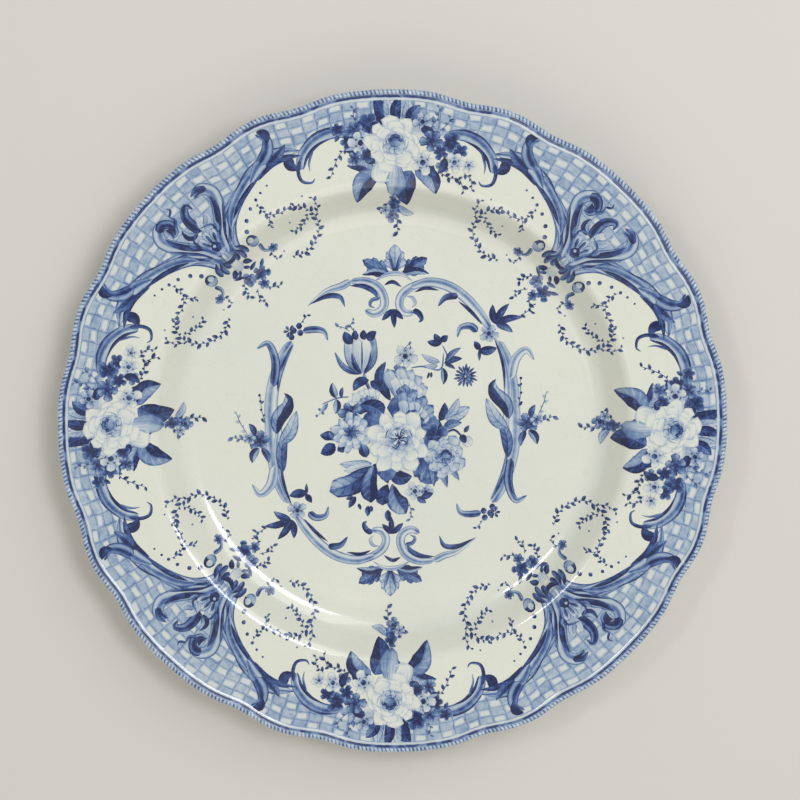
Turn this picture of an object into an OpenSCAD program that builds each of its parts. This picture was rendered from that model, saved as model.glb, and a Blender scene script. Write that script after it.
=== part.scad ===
// China dinner plate with a scalloped edge, a transfer-printed border and a framed bouquet.
// Millimetres, +Z up, origin on the standing surface under the middle of the plate.
// The clay body carries thin areas of ink, and glaze covers the clay and the ink.

/* [Plate] */
// Diameter across the crests of the scalloped edge
plate_d = 266; // [220:1:320]
// Width of the marly, from the shoulder to the crests of the edge
marly_w = 35; // [28:0.5:45]
// Rise of the cavetto from the well to the marly
cavetto_rise = 12.5; // [10:0.5:18]
// Slope of the cavetto wall from the horizontal
cavetto_angle = 48; // [38:1:58]
// Radius of the concave bend at the foot of the cavetto, on its upper face
well_bend_r = 14; // [8:1:17]
// Radius of the convex bend at the shoulder, on its upper face
shoulder_bend_r = 7; // [6:0.5:9]
// Slope of the marly from the horizontal
marly_angle = 8; // [0:0.5:15]

/* [Clay] */
// Thickness of the clay in the well and the cavetto
body_t = 4.2; // [3:0.1:5.2]
// Thickness of the clay at the lip
lip_t = 3.6; // [2.5:0.1:4.5]

/* [Foot ring] */
// Height of the foot ring below the underside of the well
foot_h = 3.2; // [2:0.1:6]
// Width of the foot ring where it stands
foot_w = 3.6; // [2.5:0.1:6]
// Distance of the ring's outer wall beyond the radius of the flat well
foot_out = 4; // [0:0.5:6]
// Slope cut off the ring's lower corners
foot_corner = 0.7; // [0.3:0.1:1]
// Height of bare clay at the bottom of the ring, wiped clean of glaze
bare_h = 1; // [0.8:0.1:1.8]

/* [Scalloped edge] */
// Number of long lobes, each followed by a short one
lobe_count = 8; // [6:1:12]
// Depth of the notches between the lobes
notch_depth = 1.8; // [0.5:0.1:3]
// Half-width of a notch, out to where a third of its depth is left
notch_reach = 10.7; // [6:0.1:13]
// Share of the circle that the long lobes take
long_lobe_share = 0.66; // [0.55:0.01:0.75]

/* [Glaze and ink] */
// Thickness of the glaze
glaze_t = 0.35; // [0.25:0.05:0.6]
// Thickness of the ink under the glaze
ink_t = 0.15; // [0.1:0.01:0.2]
// Gap between neighbouring areas of ink
print_gap = 1; // [0.5:0.1:2]

/* [Border print] */
// Distance from the edge to the line that follows it
edge_line_inset = 3.4; // [2.5:0.1:4.5]
// Width of that line
edge_line_w = 1.4; // [0.8:0.1:2]
// Distance from the notches of the edge to the basketweave
weave_inset = 6.5; // [6:0.1:9]
// Radius of the rose in each border bouquet
rim_rose_r = 11; // [8:0.5:13.5]
// Width of the scroll arms
scroll_w = 3.4; // [2:0.1:5]
// Angle from the middle of a shell to the hooked end of its scroll arm
scroll_reach = 27; // [20:1:30]

/* [Well print] */
// Radius of the large peony of the centre bouquet
peony_r = 12.5; // [9:0.5:15]
// Half-width of the ribbon frame round the centre bouquet
frame_x = 46; // [38:0.5:56]
// Half-height of that frame
frame_y = 52; // [43:0.5:63]
// Width of the frame's ribbon
frame_w = 3; // [2:0.1:5]

/* [Hidden] */
$fn = 96;

clay_colour = "#e9e4d8";
glaze_colour = "#f1f2ec";
pale_blue = "#a3b4d0";
mid_blue = "#5874ab";
deep_blue = "#27407c";

bend_steps = 6;        // straight pieces in each bend of the profile
outline_steps = 192;   // straight pieces in the scalloped outline
curve_steps = 8;       // straight pieces in each curve of a ribbon or a scroll
past = 5;              // how far a tool solid reaches past what it trims

plate_r = plate_d / 2;
shoulder_r = plate_r - marly_w;
well_z = foot_h + body_t;
shoulder_z = well_z + cavetto_rise;

// The face profile is a flat well, a concave bend, a straight wall, a convex shoulder bend
// and a straight marly.
wall_rise = cavetto_rise - well_bend_r * (1 - cos(cavetto_angle))
    - shoulder_bend_r * (cos(marly_angle) - cos(cavetto_angle));
wall_run = wall_rise / tan(cavetto_angle);
shoulder_c = [
    shoulder_r + shoulder_bend_r * sin(marly_angle),
    shoulder_z - shoulder_bend_r * cos(marly_angle)
];
well_r = shoulder_c[0] - (well_bend_r + shoulder_bend_r) * sin(cavetto_angle) - wall_run;
well_bend_c = [well_r, well_z + well_bend_r];
foot_r = well_r + foot_out;
foot_in_r = foot_r - foot_w;

function marly_z(r, d) = shoulder_z + d / cos(marly_angle) + (r - shoulder_r) * tan(marly_angle);
top_z = marly_z(plate_r, glaze_t);

// Points of a bend round the centre c, between two slopes of the profile. A side of 1 is a
// convex bend of the face, and a side of -1 a concave one.
function bend(c, r, side, from, to) = [
    for (i = [0 : bend_steps])
        let (slope = from + (to - from) * i / bend_steps)
            [c[0] - side * r * sin(slope), c[1] + side * r * cos(slope)]
];

// The face profile raised by d along its normals, from the axis to the radius reach.
function face_points(d, reach) = concat(
    [[0, well_z + d]],
    bend(well_bend_c, well_bend_r - d, -1, 0, cavetto_angle),
    bend(shoulder_c, shoulder_bend_r + d, 1, cavetto_angle, marly_angle),
    [[reach, marly_z(reach, d)]]
);

// The underside of the lip lowered by d, and the back profile from there in to the radius r,
// which is in the concave bend or the well.
back_bend_r = well_bend_r + body_t;
function lip_under_z(r, d) = marly_z(r, 0) - lip_t - d;
function back_points(d, reach, r) = concat(
    [[reach, lip_under_z(reach, d)]],
    bend(shoulder_c, shoulder_bend_r - body_t - d, 1, marly_angle, cavetto_angle),
    bend(well_bend_c, back_bend_r + d, -1, cavetto_angle, asin((r - well_r) / (back_bend_r + d)))
);

function reversed(list) = [for (i = [len(list) - 1 : -1 : 0]) list[i]];

// Radius of the scalloped outline in a direction, grown by d.
lobe_pitch = 360 / lobe_count;
notch_angle = lobe_pitch * long_lobe_share / 2;
notch_spread = notch_reach / plate_r * 180 / PI;
function lobe_angle(a) = abs(a - lobe_pitch * round(a / lobe_pitch));
function notch(a) = exp(-pow(a / notch_spread, 2));
function outline_r(a, d) = plate_r + d - notch_depth
    * (notch(lobe_angle(a) - notch_angle) + notch(lobe_pitch - lobe_angle(a) - notch_angle));

// A point given by its distance from the axis and its direction.
function polar(r, a) = [r * cos(a), r * sin(a)];

// A point of a cubic curve with two end points and two handles, and the curve's heading there.
function curve_point(p, t) = pow(1 - t, 3) * p[0] + 3 * t * pow(1 - t, 2) * p[1]
    + 3 * t * t * (1 - t) * p[2] + t * t * t * p[3];
function curve_heading(p, t) = 3 * pow(1 - t, 2) * (p[1] - p[0])
    + 6 * t * (1 - t) * (p[2] - p[1]) + 3 * t * t * (p[3] - p[2]);
function left_of(v) = [-v[1], v[0]] / norm(v);

// The area inside the scalloped outline.
module outline(d) {
    polygon([for (i = [0 : outline_steps - 1])
        let (a = 360 * i / outline_steps) polar(outline_r(a, d), a)]);
}

// A ribbon of width w along a cubic curve.
module ribbon(p, w) {
    side = [for (i = [0 : curve_steps])
        let (t = i / curve_steps) w / 2 * left_of(curve_heading(p, t))];
    middle = [for (i = [0 : curve_steps]) curve_point(p, i / curve_steps)];
    polygon(concat(middle + side, reversed(middle - side)));
}

// A leaf with pointed ends, from the point p in the direction a.
module leaf(p, a, length, width, grow) {
    arc_r = (length * length + width * width) / (4 * width);
    translate(p) rotate(a) translate([length / 2, 0]) intersection() {
        translate([0, arc_r - width / 2]) circle(arc_r + grow);
        translate([0, width / 2 - arc_r]) circle(arc_r + grow);
    }
}

// A round flower head.
module flower(p, r, grow) {
    translate(p) circle(r + grow);
}

// The solid that the profile points enclose when turned, trimmed to the scalloped outline.
module turned(points) {
    intersection() {
        rotate_extrude() polygon(points);
        linear_extrude(top_z + past) outline(0);
    }
}

// A layer on the marly between the heights low and high above the clay, inside an outline.
module marly_layer(low, high) {
    intersection() {
        linear_extrude(top_z + past) children();
        rotate_extrude() polygon([
            [shoulder_r, marly_z(shoulder_r, low)],
            [plate_r, marly_z(plate_r, low)],
            [plate_r, marly_z(plate_r, high)],
            [shoulder_r, marly_z(shoulder_r, high)]
        ]);
    }
}

// A layer on the flat well between the heights low and high above the clay.
module well_layer(low, high) {
    translate([0, 0, well_z + low]) linear_extrude(high - low) children();
}

// ---- Outlines of the border print, each grown by a gap where another outline makes room ----

border_in = shoulder_r + print_gap;
border_out = plate_r - notch_depth - weave_inset;
function across(share) = border_in + share * (border_out - border_in);
rose_at = across(0.5);
quarters = [0, 90, 180, 270];

// The ring that the border print stays inside.
module border_zone() {
    difference() {
        circle(border_out);
        circle(border_in);
    }
}

// One border bouquet, in multiples of the rose's radius.
module rim_bouquet(turn, grow) {
    u = rim_rose_r;
    rotate(turn) translate([rose_at, 0]) {
        flower([0, 0], u, grow);
        flower([0.3, 1.3] * u, 0.6 * u, grow);
        flower([0.5, -1.2] * u, 0.55 * u, grow);
        flower([-0.1, -1.9] * u, 0.42 * u, grow);
        leaf([-0.3, 0.7] * u, 140, 1.5 * u, 0.6 * u, grow);
        leaf([-0.3, -0.7] * u, 220, 1.4 * u, 0.6 * u, grow);
    }
}

module rim_bouquet_outline(turn) {
    intersection() {
        rim_bouquet(turn, 0);
        border_zone();
    }
}

// One scroll arm that leaves the shell, sweeps out and hooks back.
module scroll_arm(grow) {
    hook = polar(across(0.45), scroll_reach);
    ribbon([polar(across(0.24), 0), polar(across(0.28), 0.25 * scroll_reach),
        polar(across(0.65), 0.6 * scroll_reach), hook], scroll_w + 2 * grow);
    flower(hook, 0.8 * scroll_w, grow);
}

// One shell with its two scroll arms.
module rim_scroll(turn, grow) {
    rotate(turn) {
        for (side = [0, 1]) {
            mirror([0, side]) scroll_arm(grow);
        }
        flower([across(0.24), 0], 1.3 * scroll_w, grow);
        for (a = [-40, 0, 40]) {
            leaf([across(0.24), 0], a, 4.4 * scroll_w, 1.8 * scroll_w, grow);
        }
    }
}

// A scroll gives way to the bouquets beside it.
module rim_scroll_outline(turn) {
    difference() {
        intersection() {
            rim_scroll(turn, 0);
            border_zone();
        }
        for (side = [-45, 45]) {
            rim_bouquet(turn + side, print_gap);
        }
    }
}

// The basketweave ground fills what the bouquets and the scrolls leave of the marly's outer part.
module weave_outline() {
    difference() {
        circle(border_out);
        circle(across(0.3));
        for (turn = quarters) {
            rim_bouquet(turn, print_gap);
            rim_scroll(turn + 45, print_gap);
        }
    }
}

module edge_line_outline() {
    difference() {
        outline(-edge_line_inset);
        outline(-edge_line_inset - edge_line_w);
    }
}

// ---- Outlines of the well print ----

// The centre bouquet, in multiples of the peony's radius.
module well_bouquet_outline(grow) {
    u = peony_r;
    flower([0.2, -0.5] * u, u, grow);
    flower([-1.35, -0.35] * u, 0.6 * u, grow);
    flower([1.7, -1] * u, 0.8 * u, grow);
    flower([0.8, 0.9] * u, 0.65 * u, grow);
    flower([0.45, 2] * u, 0.55 * u, grow);
    flower([1.6, 2.1] * u, 0.6 * u, grow);
    flower([2.35, 1.3] * u, 0.6 * u, grow);
    flower([-0.7, 2.1] * u, 0.65 * u, grow);
    for (a = [172, 215, 240, 262, 285]) {
        leaf([0.2, -0.5] * u + polar(0.7 * u, a), a, 1.7 * u, 0.7 * u, grow);
    }
}

// One half of the ribbon frame: the other half is the same, turned half round.
module half_frame() {
    corner = [0.86 * frame_x, 0.69 * frame_y];
    low_corner = [corner[0], -corner[1]];
    ribbon([[0.06 * frame_x, frame_y], [0.4 * frame_x, 1.2 * frame_y],
        [0.75 * frame_x, frame_y], corner], frame_w);
    ribbon([corner, [1.1 * frame_x, 0.35 * frame_y],
        [1.1 * frame_x, -0.35 * frame_y], low_corner], frame_w);
    ribbon([low_corner, [0.7 * frame_x, -1.05 * frame_y],
        [0.4 * frame_x, -0.75 * frame_y], [0.06 * frame_x, -frame_y]], frame_w);
    flower(corner, 1.5 * frame_w, 0);
    flower(low_corner, 1.3 * frame_w, 0);
    flower([0, frame_y], 1.3 * frame_w, 0);
    for (a = [45, 90, 135]) {
        leaf([0, frame_y], a, 0.3 * frame_y, 2 * frame_w, 0);
    }
    leaf([0.9 * frame_x, 0], 0, 0.45 * frame_x, 3 * frame_w, 0);
}

module well_frame_outline() {
    difference() {
        intersection() {
            circle(well_r - print_gap);
            for (turn = [0, 180]) {
                rotate(turn) half_frame();
            }
        }
        well_bouquet_outline(print_gap);
    }
}

// ---- Sub-parts ----

// The fired clay: the plate and its foot ring in one.
module biscuit_body() {
    color(clay_colour) turned(concat(
        face_points(0, plate_r + past), back_points(0, plate_r + past, foot_r),
        [
            [foot_r, foot_corner],
            [foot_r - foot_corner, 0],
            [foot_in_r + foot_corner, 0],
            [foot_in_r, foot_corner],
            [foot_in_r, foot_h],
            [0, foot_h]
        ]
    ));
}

// Glaze on the face, let into by the ink under it.
module face_glaze() {
    color(glaze_colour) difference() {
        turned(concat(
            face_points(glaze_t, plate_r + past), reversed(face_points(0, plate_r + past))
        ));
        marly_layer(-ink_t, ink_t) {
            weave_outline();
            edge_line_outline();
            for (turn = quarters) {
                rim_bouquet_outline(turn);
                rim_scroll_outline(turn + 45);
            }
        }
        well_layer(-ink_t, ink_t) {
            well_bouquet_outline(0);
            well_frame_outline();
        }
    }
}

// Glaze round the scalloped edge, level with the glaze of the face and the back.
module lip_glaze() {
    inner = plate_r - past;
    outer = plate_r + past;
    color(glaze_colour) intersection() {
        linear_extrude(top_z + past) difference() {
            outline(glaze_t);
            outline(0);
        }
        rotate_extrude() polygon([
            [inner, lip_under_z(inner, glaze_t)],
            [outer, lip_under_z(outer, glaze_t)],
            [outer, marly_z(outer, glaze_t)],
            [inner, marly_z(inner, glaze_t)]
        ]);
    }
}

// Glaze on the back and down the foot ring's outer wall, as far as the bare clay.
module back_glaze() {
    color(glaze_colour) turned(concat(
        reversed(back_points(0, plate_r + past, foot_r)),
        back_points(glaze_t, plate_r + past, foot_r + glaze_t),
        [[foot_r + glaze_t, bare_h], [foot_r, bare_h]]
    ));
}

// Glaze inside the foot ring, on the underside of the well.
module foot_well_glaze() {
    color(glaze_colour) translate([0, 0, foot_h - glaze_t]) cylinder(h = glaze_t, r = foot_in_r);
}

module well_bouquet_print() {
    color(deep_blue) well_layer(0, ink_t) well_bouquet_outline(0);
}

module well_frame_print() {
    color(mid_blue) well_layer(0, ink_t) well_frame_outline();
}

module rim_basketweave_print() {
    color(pale_blue) marly_layer(0, ink_t) weave_outline();
}

module edge_line_print() {
    color(deep_blue) marly_layer(0, ink_t) edge_line_outline();
}

module rim_bouquet_print(turn) {
    color(deep_blue) marly_layer(0, ink_t) rim_bouquet_outline(turn);
}

module rim_scroll_print(turn) {
    color(mid_blue) marly_layer(0, ink_t) rim_scroll_outline(turn);
}

biscuit_body();
face_glaze();
lip_glaze();
back_glaze();
foot_well_glaze();
well_bouquet_print();
well_frame_print();
rim_basketweave_print();
edge_line_print();
rim_bouquet_print(0);  // rim_bouquet_print_e
rim_bouquet_print(90);  // rim_bouquet_print_n
rim_bouquet_print(180);  // rim_bouquet_print_w
rim_bouquet_print(270);  // rim_bouquet_print_s
rim_scroll_print(45);  // rim_scroll_print_ne
rim_scroll_print(135);  // rim_scroll_print_nw
rim_scroll_print(225);  // rim_scroll_print_sw
rim_scroll_print(315);  // rim_scroll_print_se
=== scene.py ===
"""A scalloped china dinner plate, printed in cobalt under the glaze.

All sizes are millimetres until place() turns them to metres. Motifs are drawn flat, with +Y
pointing out to the edge, and mark() lays them on the glazed face.
"""
import math

import bmesh
import bpy
from mathutils import Matrix, Vector


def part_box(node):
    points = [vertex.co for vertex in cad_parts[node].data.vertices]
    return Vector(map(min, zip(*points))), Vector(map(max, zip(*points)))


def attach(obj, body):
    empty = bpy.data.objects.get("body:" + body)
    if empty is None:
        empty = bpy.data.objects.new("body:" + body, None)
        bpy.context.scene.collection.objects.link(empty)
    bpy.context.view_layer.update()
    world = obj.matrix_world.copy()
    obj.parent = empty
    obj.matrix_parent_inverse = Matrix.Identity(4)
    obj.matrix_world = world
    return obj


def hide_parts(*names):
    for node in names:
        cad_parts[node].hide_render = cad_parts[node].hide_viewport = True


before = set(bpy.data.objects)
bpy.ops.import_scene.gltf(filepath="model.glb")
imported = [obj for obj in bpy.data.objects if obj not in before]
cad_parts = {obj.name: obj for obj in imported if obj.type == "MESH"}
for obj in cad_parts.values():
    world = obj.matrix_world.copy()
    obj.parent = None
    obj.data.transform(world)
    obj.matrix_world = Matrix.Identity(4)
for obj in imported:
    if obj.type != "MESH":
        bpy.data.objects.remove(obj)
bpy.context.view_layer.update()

MM = 0.001

# ---------------------------------------------------------------- sizes of the clay and glaze

body_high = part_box("biscuit_body")[1]
glaze_low, glaze_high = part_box("foot_well_glaze")
ink_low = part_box("well_bouquet_print")[0]
plate_r = body_high[0] / MM
foot_in_r = glaze_high[0] / MM
recess_z = glaze_low[2] / MM
glaze_t = (glaze_high[2] - glaze_low[2]) / MM
clay_z = ink_low[2] / MM
well_z = clay_z + glaze_t

# The profile's bends and slopes, as the clay is turned
marly_w = 35.0
marly_slope = math.radians(8)
wall_slope = math.radians(48)
well_bend_r = 14.0
shoulder_bend_r = 7.0
cavetto_rise = 12.5
body_t = 4.2
lip_t = 3.6
foot_w = 3.6

shoulder_r = plate_r - marly_w
foot_r = foot_in_r + foot_w
shoulder_z = clay_z + cavetto_rise
shoulder_c = (
    shoulder_r + shoulder_bend_r * math.sin(marly_slope),
    shoulder_z - shoulder_bend_r * math.cos(marly_slope),
)
wall_rise = (
    cavetto_rise
    - well_bend_r * (1 - math.cos(wall_slope))
    - shoulder_bend_r * (math.cos(marly_slope) - math.cos(wall_slope))
)
wall_run = wall_rise / math.tan(wall_slope)
well_r = shoulder_c[0] - (well_bend_r + shoulder_bend_r) * math.sin(wall_slope) - wall_run
well_bend_c = (well_r, clay_z + well_bend_r)

# The scalloped edge: long and short lobes in turn, parted by notches that are felt from the
# end of the shoulder outwards. Along it run the rope, a gutter and a fillet; these two are
# given by their distance from the edge, half their width, and their depth or height.
lobe_pitch = 45.0
notch_at = 0.33 * lobe_pitch
notch_depth = 1.8
notch_spread = math.degrees(10.7 / plate_r)
scallop_reach = 22
rope_r = 1.2
rope_twists = 520
gutter_in, gutter_half, gutter_h = 2.6, 0.4, 0.3
fillet_in, fillet_half, fillet_h = 3.7, 0.5, 0.25
moulding_w = 4.4

# Where the well's mesh meets the border's, near the foot of the cavetto's wall
border_in_r = 88.0

# The transfer print sits turned a little from the lobes
print_turn = -2.8


def bend_height(centre, radius, side, r):
    """Height of a bend of the profile at the distance r from the axis."""
    return centre[1] + side * math.sqrt(max(radius**2 - (r - centre[0]) ** 2, 0))


def cavetto_z(r, concave, convex):
    """Height of a profile with these two bends, from the well to the start of the marly."""
    wall_start = well_r + concave * math.sin(wall_slope)
    wall_end = shoulder_c[0] - convex * math.sin(wall_slope)
    if r <= wall_start:
        return bend_height(well_bend_c, concave, -1, r)
    if r <= wall_end:
        start_z = bend_height(well_bend_c, concave, -1, wall_start)
        return start_z + (r - wall_start) * math.tan(wall_slope)
    return bend_height(shoulder_c, convex, 1, r)


def face_z(r):
    """Height of the glazed face at the distance r from the axis."""
    concave = well_bend_r - glaze_t
    convex = shoulder_bend_r + glaze_t
    marly_start = shoulder_c[0] - convex * math.sin(marly_slope)
    if r <= well_r:
        return well_z
    if r <= marly_start:
        return cavetto_z(r, concave, convex)
    start_z = cavetto_z(marly_start, concave, convex)
    return start_z + (r - marly_start) * math.tan(marly_slope)


def back_z(r):
    """Height of the glazed back at the distance r from the axis, outside the foot ring."""
    concave = well_bend_r + body_t + glaze_t
    convex = shoulder_bend_r - body_t - glaze_t
    marly_start = shoulder_c[0] - convex * math.sin(marly_slope)
    if r <= marly_start:
        return cavetto_z(r, concave, convex)
    start_z = cavetto_z(marly_start, concave, convex)
    lip_z = face_z(plate_r) - lip_t - 2 * glaze_t
    return start_z + (lip_z - start_z) * (r - marly_start) / (plate_r - marly_start)


def face_normal(x, y):
    """Direction that the glazed face looks in above the point x, y."""
    r = math.hypot(x, y)
    if r < well_r:
        return Vector((0, 0, 1))
    step = 0.05
    slope = (face_z(r + step) - face_z(r - step)) / (2 * step)
    return Vector((-slope * x / r, -slope * y / r, 1)).normalized()


def hump(at, middle, half):
    """A smooth hump, 1 at its middle and mostly gone at the distance half from it."""
    return math.exp(-(((at - middle) / half) ** 2))


def edge_dip(angle):
    """How far the edge draws in from its crests, in a direction given in degrees."""
    from_lobe = abs(angle - lobe_pitch * round(angle / lobe_pitch))
    near = hump(from_lobe, notch_at, notch_spread)
    far = hump(lobe_pitch - from_lobe, notch_at, notch_spread)
    return notch_depth * (near + far)


def scallop_dip(x, y):
    """How far the marly is drawn in at the point x, y."""
    out = (math.hypot(x, y) - shoulder_r) / scallop_reach
    return edge_dip(math.degrees(math.atan2(y, x))) * min(1, max(0, out)) ** 1.5


def place(x, y, z):
    """A point in metres, from millimetres."""
    return Vector((x, y, z)) * MM


# ---------------------------------------------------------------- materials


def linear(hexa):
    """Linear colour of an sRGB hex value."""
    parts = [int(hexa[i : i + 2], 16) / 255 for i in (0, 2, 4)]
    return [c / 12.92 if c <= 0.04045 else ((c + 0.055) / 1.055) ** 2.4 for c in parts] + [1.0]


def add(tree, kind, ins=(), out=0, stops=(), **settings):
    """Adds a node, sets it up, links or fills its inputs and returns one of its outputs.
    A kind such as "MULTIPLY" is that operation of a Math node, and a ramp's stops are
    (place, hex colour) or (place, number)."""
    if not kind.startswith("ShaderNode"):
        kind, settings["operation"] = "ShaderNodeMath", kind
    node = tree.nodes.new(kind)
    for key, value in settings.items():
        setattr(node, key, value)
    while stops and len(node.color_ramp.elements) < len(stops):
        node.color_ramp.elements.new(0.5)
    for i, (at, tone) in enumerate(stops):
        grey = not isinstance(tone, str)
        node.color_ramp.elements[i].position = at
        node.color_ramp.elements[i].color = (tone, tone, tone, 1) if grey else linear(tone)
    for key, value in ins.items() if isinstance(ins, dict) else enumerate(ins):
        if isinstance(value, bpy.types.NodeSocket):
            tree.links.new(value, node.inputs[key])
        else:
            node.inputs[key].default_value = value
    return node.outputs[out] if node.outputs else None


RANGE = "ShaderNodeMapRange"
MIX = "ShaderNodeMix"
NOISE = "ShaderNodeTexNoise"
RAMP = "ShaderNodeValToRGB"
SPLIT = "ShaderNodeSeparateXYZ"
ATTRIBUTE = "ShaderNodeAttribute"
PLACE = "ShaderNodeTexCoord"
SURFACE = "ShaderNodeBsdfPrincipled"
OUTPUT = "ShaderNodeOutputMaterial"

# Cobalt under a clear glaze, from the bare white body to full ink
cobalt_tones = [
    (0.0, "dddfd2"),
    (0.14, "c2cacf"),
    (0.34, "9badc1"),
    (0.56, "637ea8"),
    (0.78, "2f4a86"),
    (1.0, "141e4e"),
]

# Depth of the ink from the rope inwards, by the distance in centimetres
edge_line_tones = [
    (0.0, 0.5),
    (0.23, 0.55),
    (0.26, 0.95),
    (0.33, 0.92),
    (0.36, 0.2),
    (0.43, 0.1),
    (0.45, 0.5),
    (0.48, 0.42),
]

# Width of the net of crazing, in millimetres
crazing_mesh = 7.0

# Columns of the basketweave round the plate, and the height of a row
weave_columns = 144
weave_row = 3.25


def new_material(name):
    """An empty node material and its tree."""
    made = bpy.data.materials.new(name)
    made.use_nodes = True
    made.node_tree.nodes.clear()
    return made, made.node_tree


def glaze_over(tree, tone):
    """Finishes a material as earthenware printed to a tone and dipped in clear glaze.
    The eye gets a soft white body, sharp highlights whose edges waver because fired glaze is
    never flat, and a faint net of crazing with a mesh of about 7 mm."""
    spot = add(tree, PLACE, out="Object")
    colour = add(tree, RAMP, [tone], stops=cobalt_tones)
    cloud = add(tree, NOISE, {"Vector": spot, "Scale": 45.0, "Detail": 3.0})
    bent = add(tree, NOISE, {"Vector": spot, "Scale": 220.0, "Detail": 1.0}, out="Color")
    stray = (0.004, 0.004, 0.004)
    bend = add(tree, "ShaderNodeVectorMath", [bent, stray, spot], operation="MULTIPLY_ADD")
    mesh = {"Vector": bend, "Scale": 1000 / crazing_mesh}
    net = add(tree, "ShaderNodeTexVoronoi", mesh, feature="DISTANCE_TO_EDGE")
    crack = add(tree, RANGE, [net, 0.0, 0.03, 0.06, 0.0])
    thick = add(tree, RANGE, [cloud, 0.3, 0.7, 0.0, 0.05])
    loss = add(tree, "ADD", [crack, thick])
    stained = {"Factor": loss, 6: colour, 7: linear("8d947c")}
    seen = add(tree, MIX, stained, out=2, data_type="RGBA")
    waver = add(tree, NOISE, {"Vector": spot, "Scale": 120.0, "Detail": 2.0})
    pits = add(tree, NOISE, {"Vector": spot, "Scale": 700.0, "Detail": 1.0})
    height = add(tree, "MULTIPLY_ADD", [pits, 0.1, waver])
    bump = add(tree, "ShaderNodeBump", {"Strength": 0.3, "Distance": 0.0001, "Height": height})
    smear = add(tree, RANGE, [cloud, 0.3, 0.7, 0.1, 0.18])
    glazed = {
        "Base Color": seen,
        "Roughness": smear,
        "IOR": 1.5,
        "Coat Weight": 0.5,
        "Coat Roughness": 0.03,
        "Coat IOR": 1.5,
        "Normal": bump,
    }
    add(tree, OUTPUT, [add(tree, SURFACE, glazed)])


def white_glaze():
    """Plain glazed earthenware: a cream white that pools a shade darker here and there."""
    made, tree = new_material("clear_glaze_on_white_earthenware")
    spot = add(tree, PLACE, out="Object")
    pool = add(tree, NOISE, {"Vector": spot, "Scale": 14.0, "Detail": 2.0})
    glaze_over(tree, add(tree, RANGE, [pool, 0.35, 0.75, 0.0, 0.02]))
    return made


def transfer_print():
    """Cobalt ink from an engraved transfer, brushed out by hand under the glaze.
    Each mark carries its own tones: it gets a wash from root to tip, a darker outline, veins,
    a fan of fine lines or stripes along it, and the ink mottles as it does on a porous body."""
    made, tree = new_material("cobalt_transfer_under_glaze")
    stroke = add(tree, ATTRIBUTE, out="Vector", attribute_name="stroke")
    along, across, _ = (add(tree, SPLIT, [stroke], out=i) for i in range(3))
    wash = add(tree, ATTRIBUTE, out="Vector", attribute_name="wash")
    root, tip, edge = (add(tree, SPLIT, [wash], out=i) for i in range(3))
    lines = add(tree, ATTRIBUTE, out="Vector", attribute_name="lines")
    vein, fan, stripe = (add(tree, SPLIT, [lines], out=i) for i in range(3))
    half = add(tree, ATTRIBUTE, out="Fac", attribute_name="half_shade")

    spot = add(tree, PLACE, out="Object")
    blot = add(tree, NOISE, {"Vector": spot, "Scale": 330.0, "Detail": 3.0})
    grain = add(tree, NOISE, {"Vector": spot, "Scale": 1500.0, "Detail": 2.0})

    # The wash from root to tip, deeper on one half
    slide = add(tree, RANGE, [along, 0.0, 1.0, 0.0, 1.0], interpolation_type="SMOOTHSTEP")
    reach = add(tree, "SUBTRACT", [tip, root])
    tone = add(tree, "MULTIPLY_ADD", [reach, slide, root])
    side = add(tree, RANGE, [across, 0.38, 0.6, 0.0, 1.0], interpolation_type="SMOOTHSTEP")
    tone = add(tree, "MULTIPLY_ADD", [side, half, tone])

    # The outline, along both sides and round the tip
    twice = add(tree, "MULTIPLY_ADD", [across, 2.0, -1.0])
    out = add(tree, "ABSOLUTE", [twice])
    side_line = add(tree, RANGE, [out, 0.68, 0.98, 0.0, 1.0], interpolation_type="SMOOTHSTEP")
    tip_line = add(tree, RANGE, [along, 0.86, 0.99, 0.0, 1.0], interpolation_type="SMOOTHSTEP")
    outline = add(tree, "MAXIMUM", [side_line, tip_line])
    tone = add(tree, "MULTIPLY_ADD", [outline, edge, tone])

    # A midrib with side veins that run forward to the edge
    rib = add(tree, RANGE, [out, 0.03, 0.14, 0.6, 0.0])
    forward = add(tree, "MULTIPLY", [out, -1.1])
    phase = add(tree, "MULTIPLY_ADD", [along, 6.0, forward])
    vein_turn = add(tree, "MULTIPLY", [phase, math.tau])
    wave = add(tree, "COSINE", [vein_turn])
    side_veins = add(tree, RANGE, [wave, 0.55, 1.0, 0.0, 0.4])
    veins = add(tree, "MAXIMUM", [rib, side_veins])
    tone = add(tree, "MULTIPLY_ADD", [veins, vein, tone])

    # Fine lines that fan out from the root of a petal
    rays = add(tree, "MULTIPLY_ADD", [across, 5.5, blot])
    ray_turn = add(tree, "MULTIPLY", [rays, math.tau])
    fan_wave = add(tree, "COSINE", [ray_turn])
    fan_lines = add(tree, RANGE, [fan_wave, -0.2, 1.0, 0.0, 1.0])
    fade = add(tree, RANGE, [along, 0.15, 0.85, 1.0, 0.0])
    fans = add(tree, "MULTIPLY", [fan_lines, fade])
    tone = add(tree, "MULTIPLY_ADD", [fans, fan, tone])

    # Stripes along a ribbon or a scroll, as on a rolled leaf
    bands = add(tree, "MULTIPLY_ADD", [across, 1.6 * math.tau, 0.4])
    band_wave = add(tree, "COSINE", [bands])
    tone = add(tree, "MULTIPLY_ADD", [band_wave, stripe, tone])

    # Mottling of the ink
    uneven = add(tree, RANGE, [blot, 0.3, 0.7, 0.82, 1.18])
    speck = add(tree, RANGE, [grain, 0.3, 0.7, -0.05, 0.05])
    tone = add(tree, "MULTIPLY", [tone, uneven])
    speckled = add(tree, "MULTIPLY", [tone, speck])
    tone = add(tree, "ADD", [tone, speckled], use_clamp=True)
    glaze_over(tree, tone)
    return made


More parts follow.
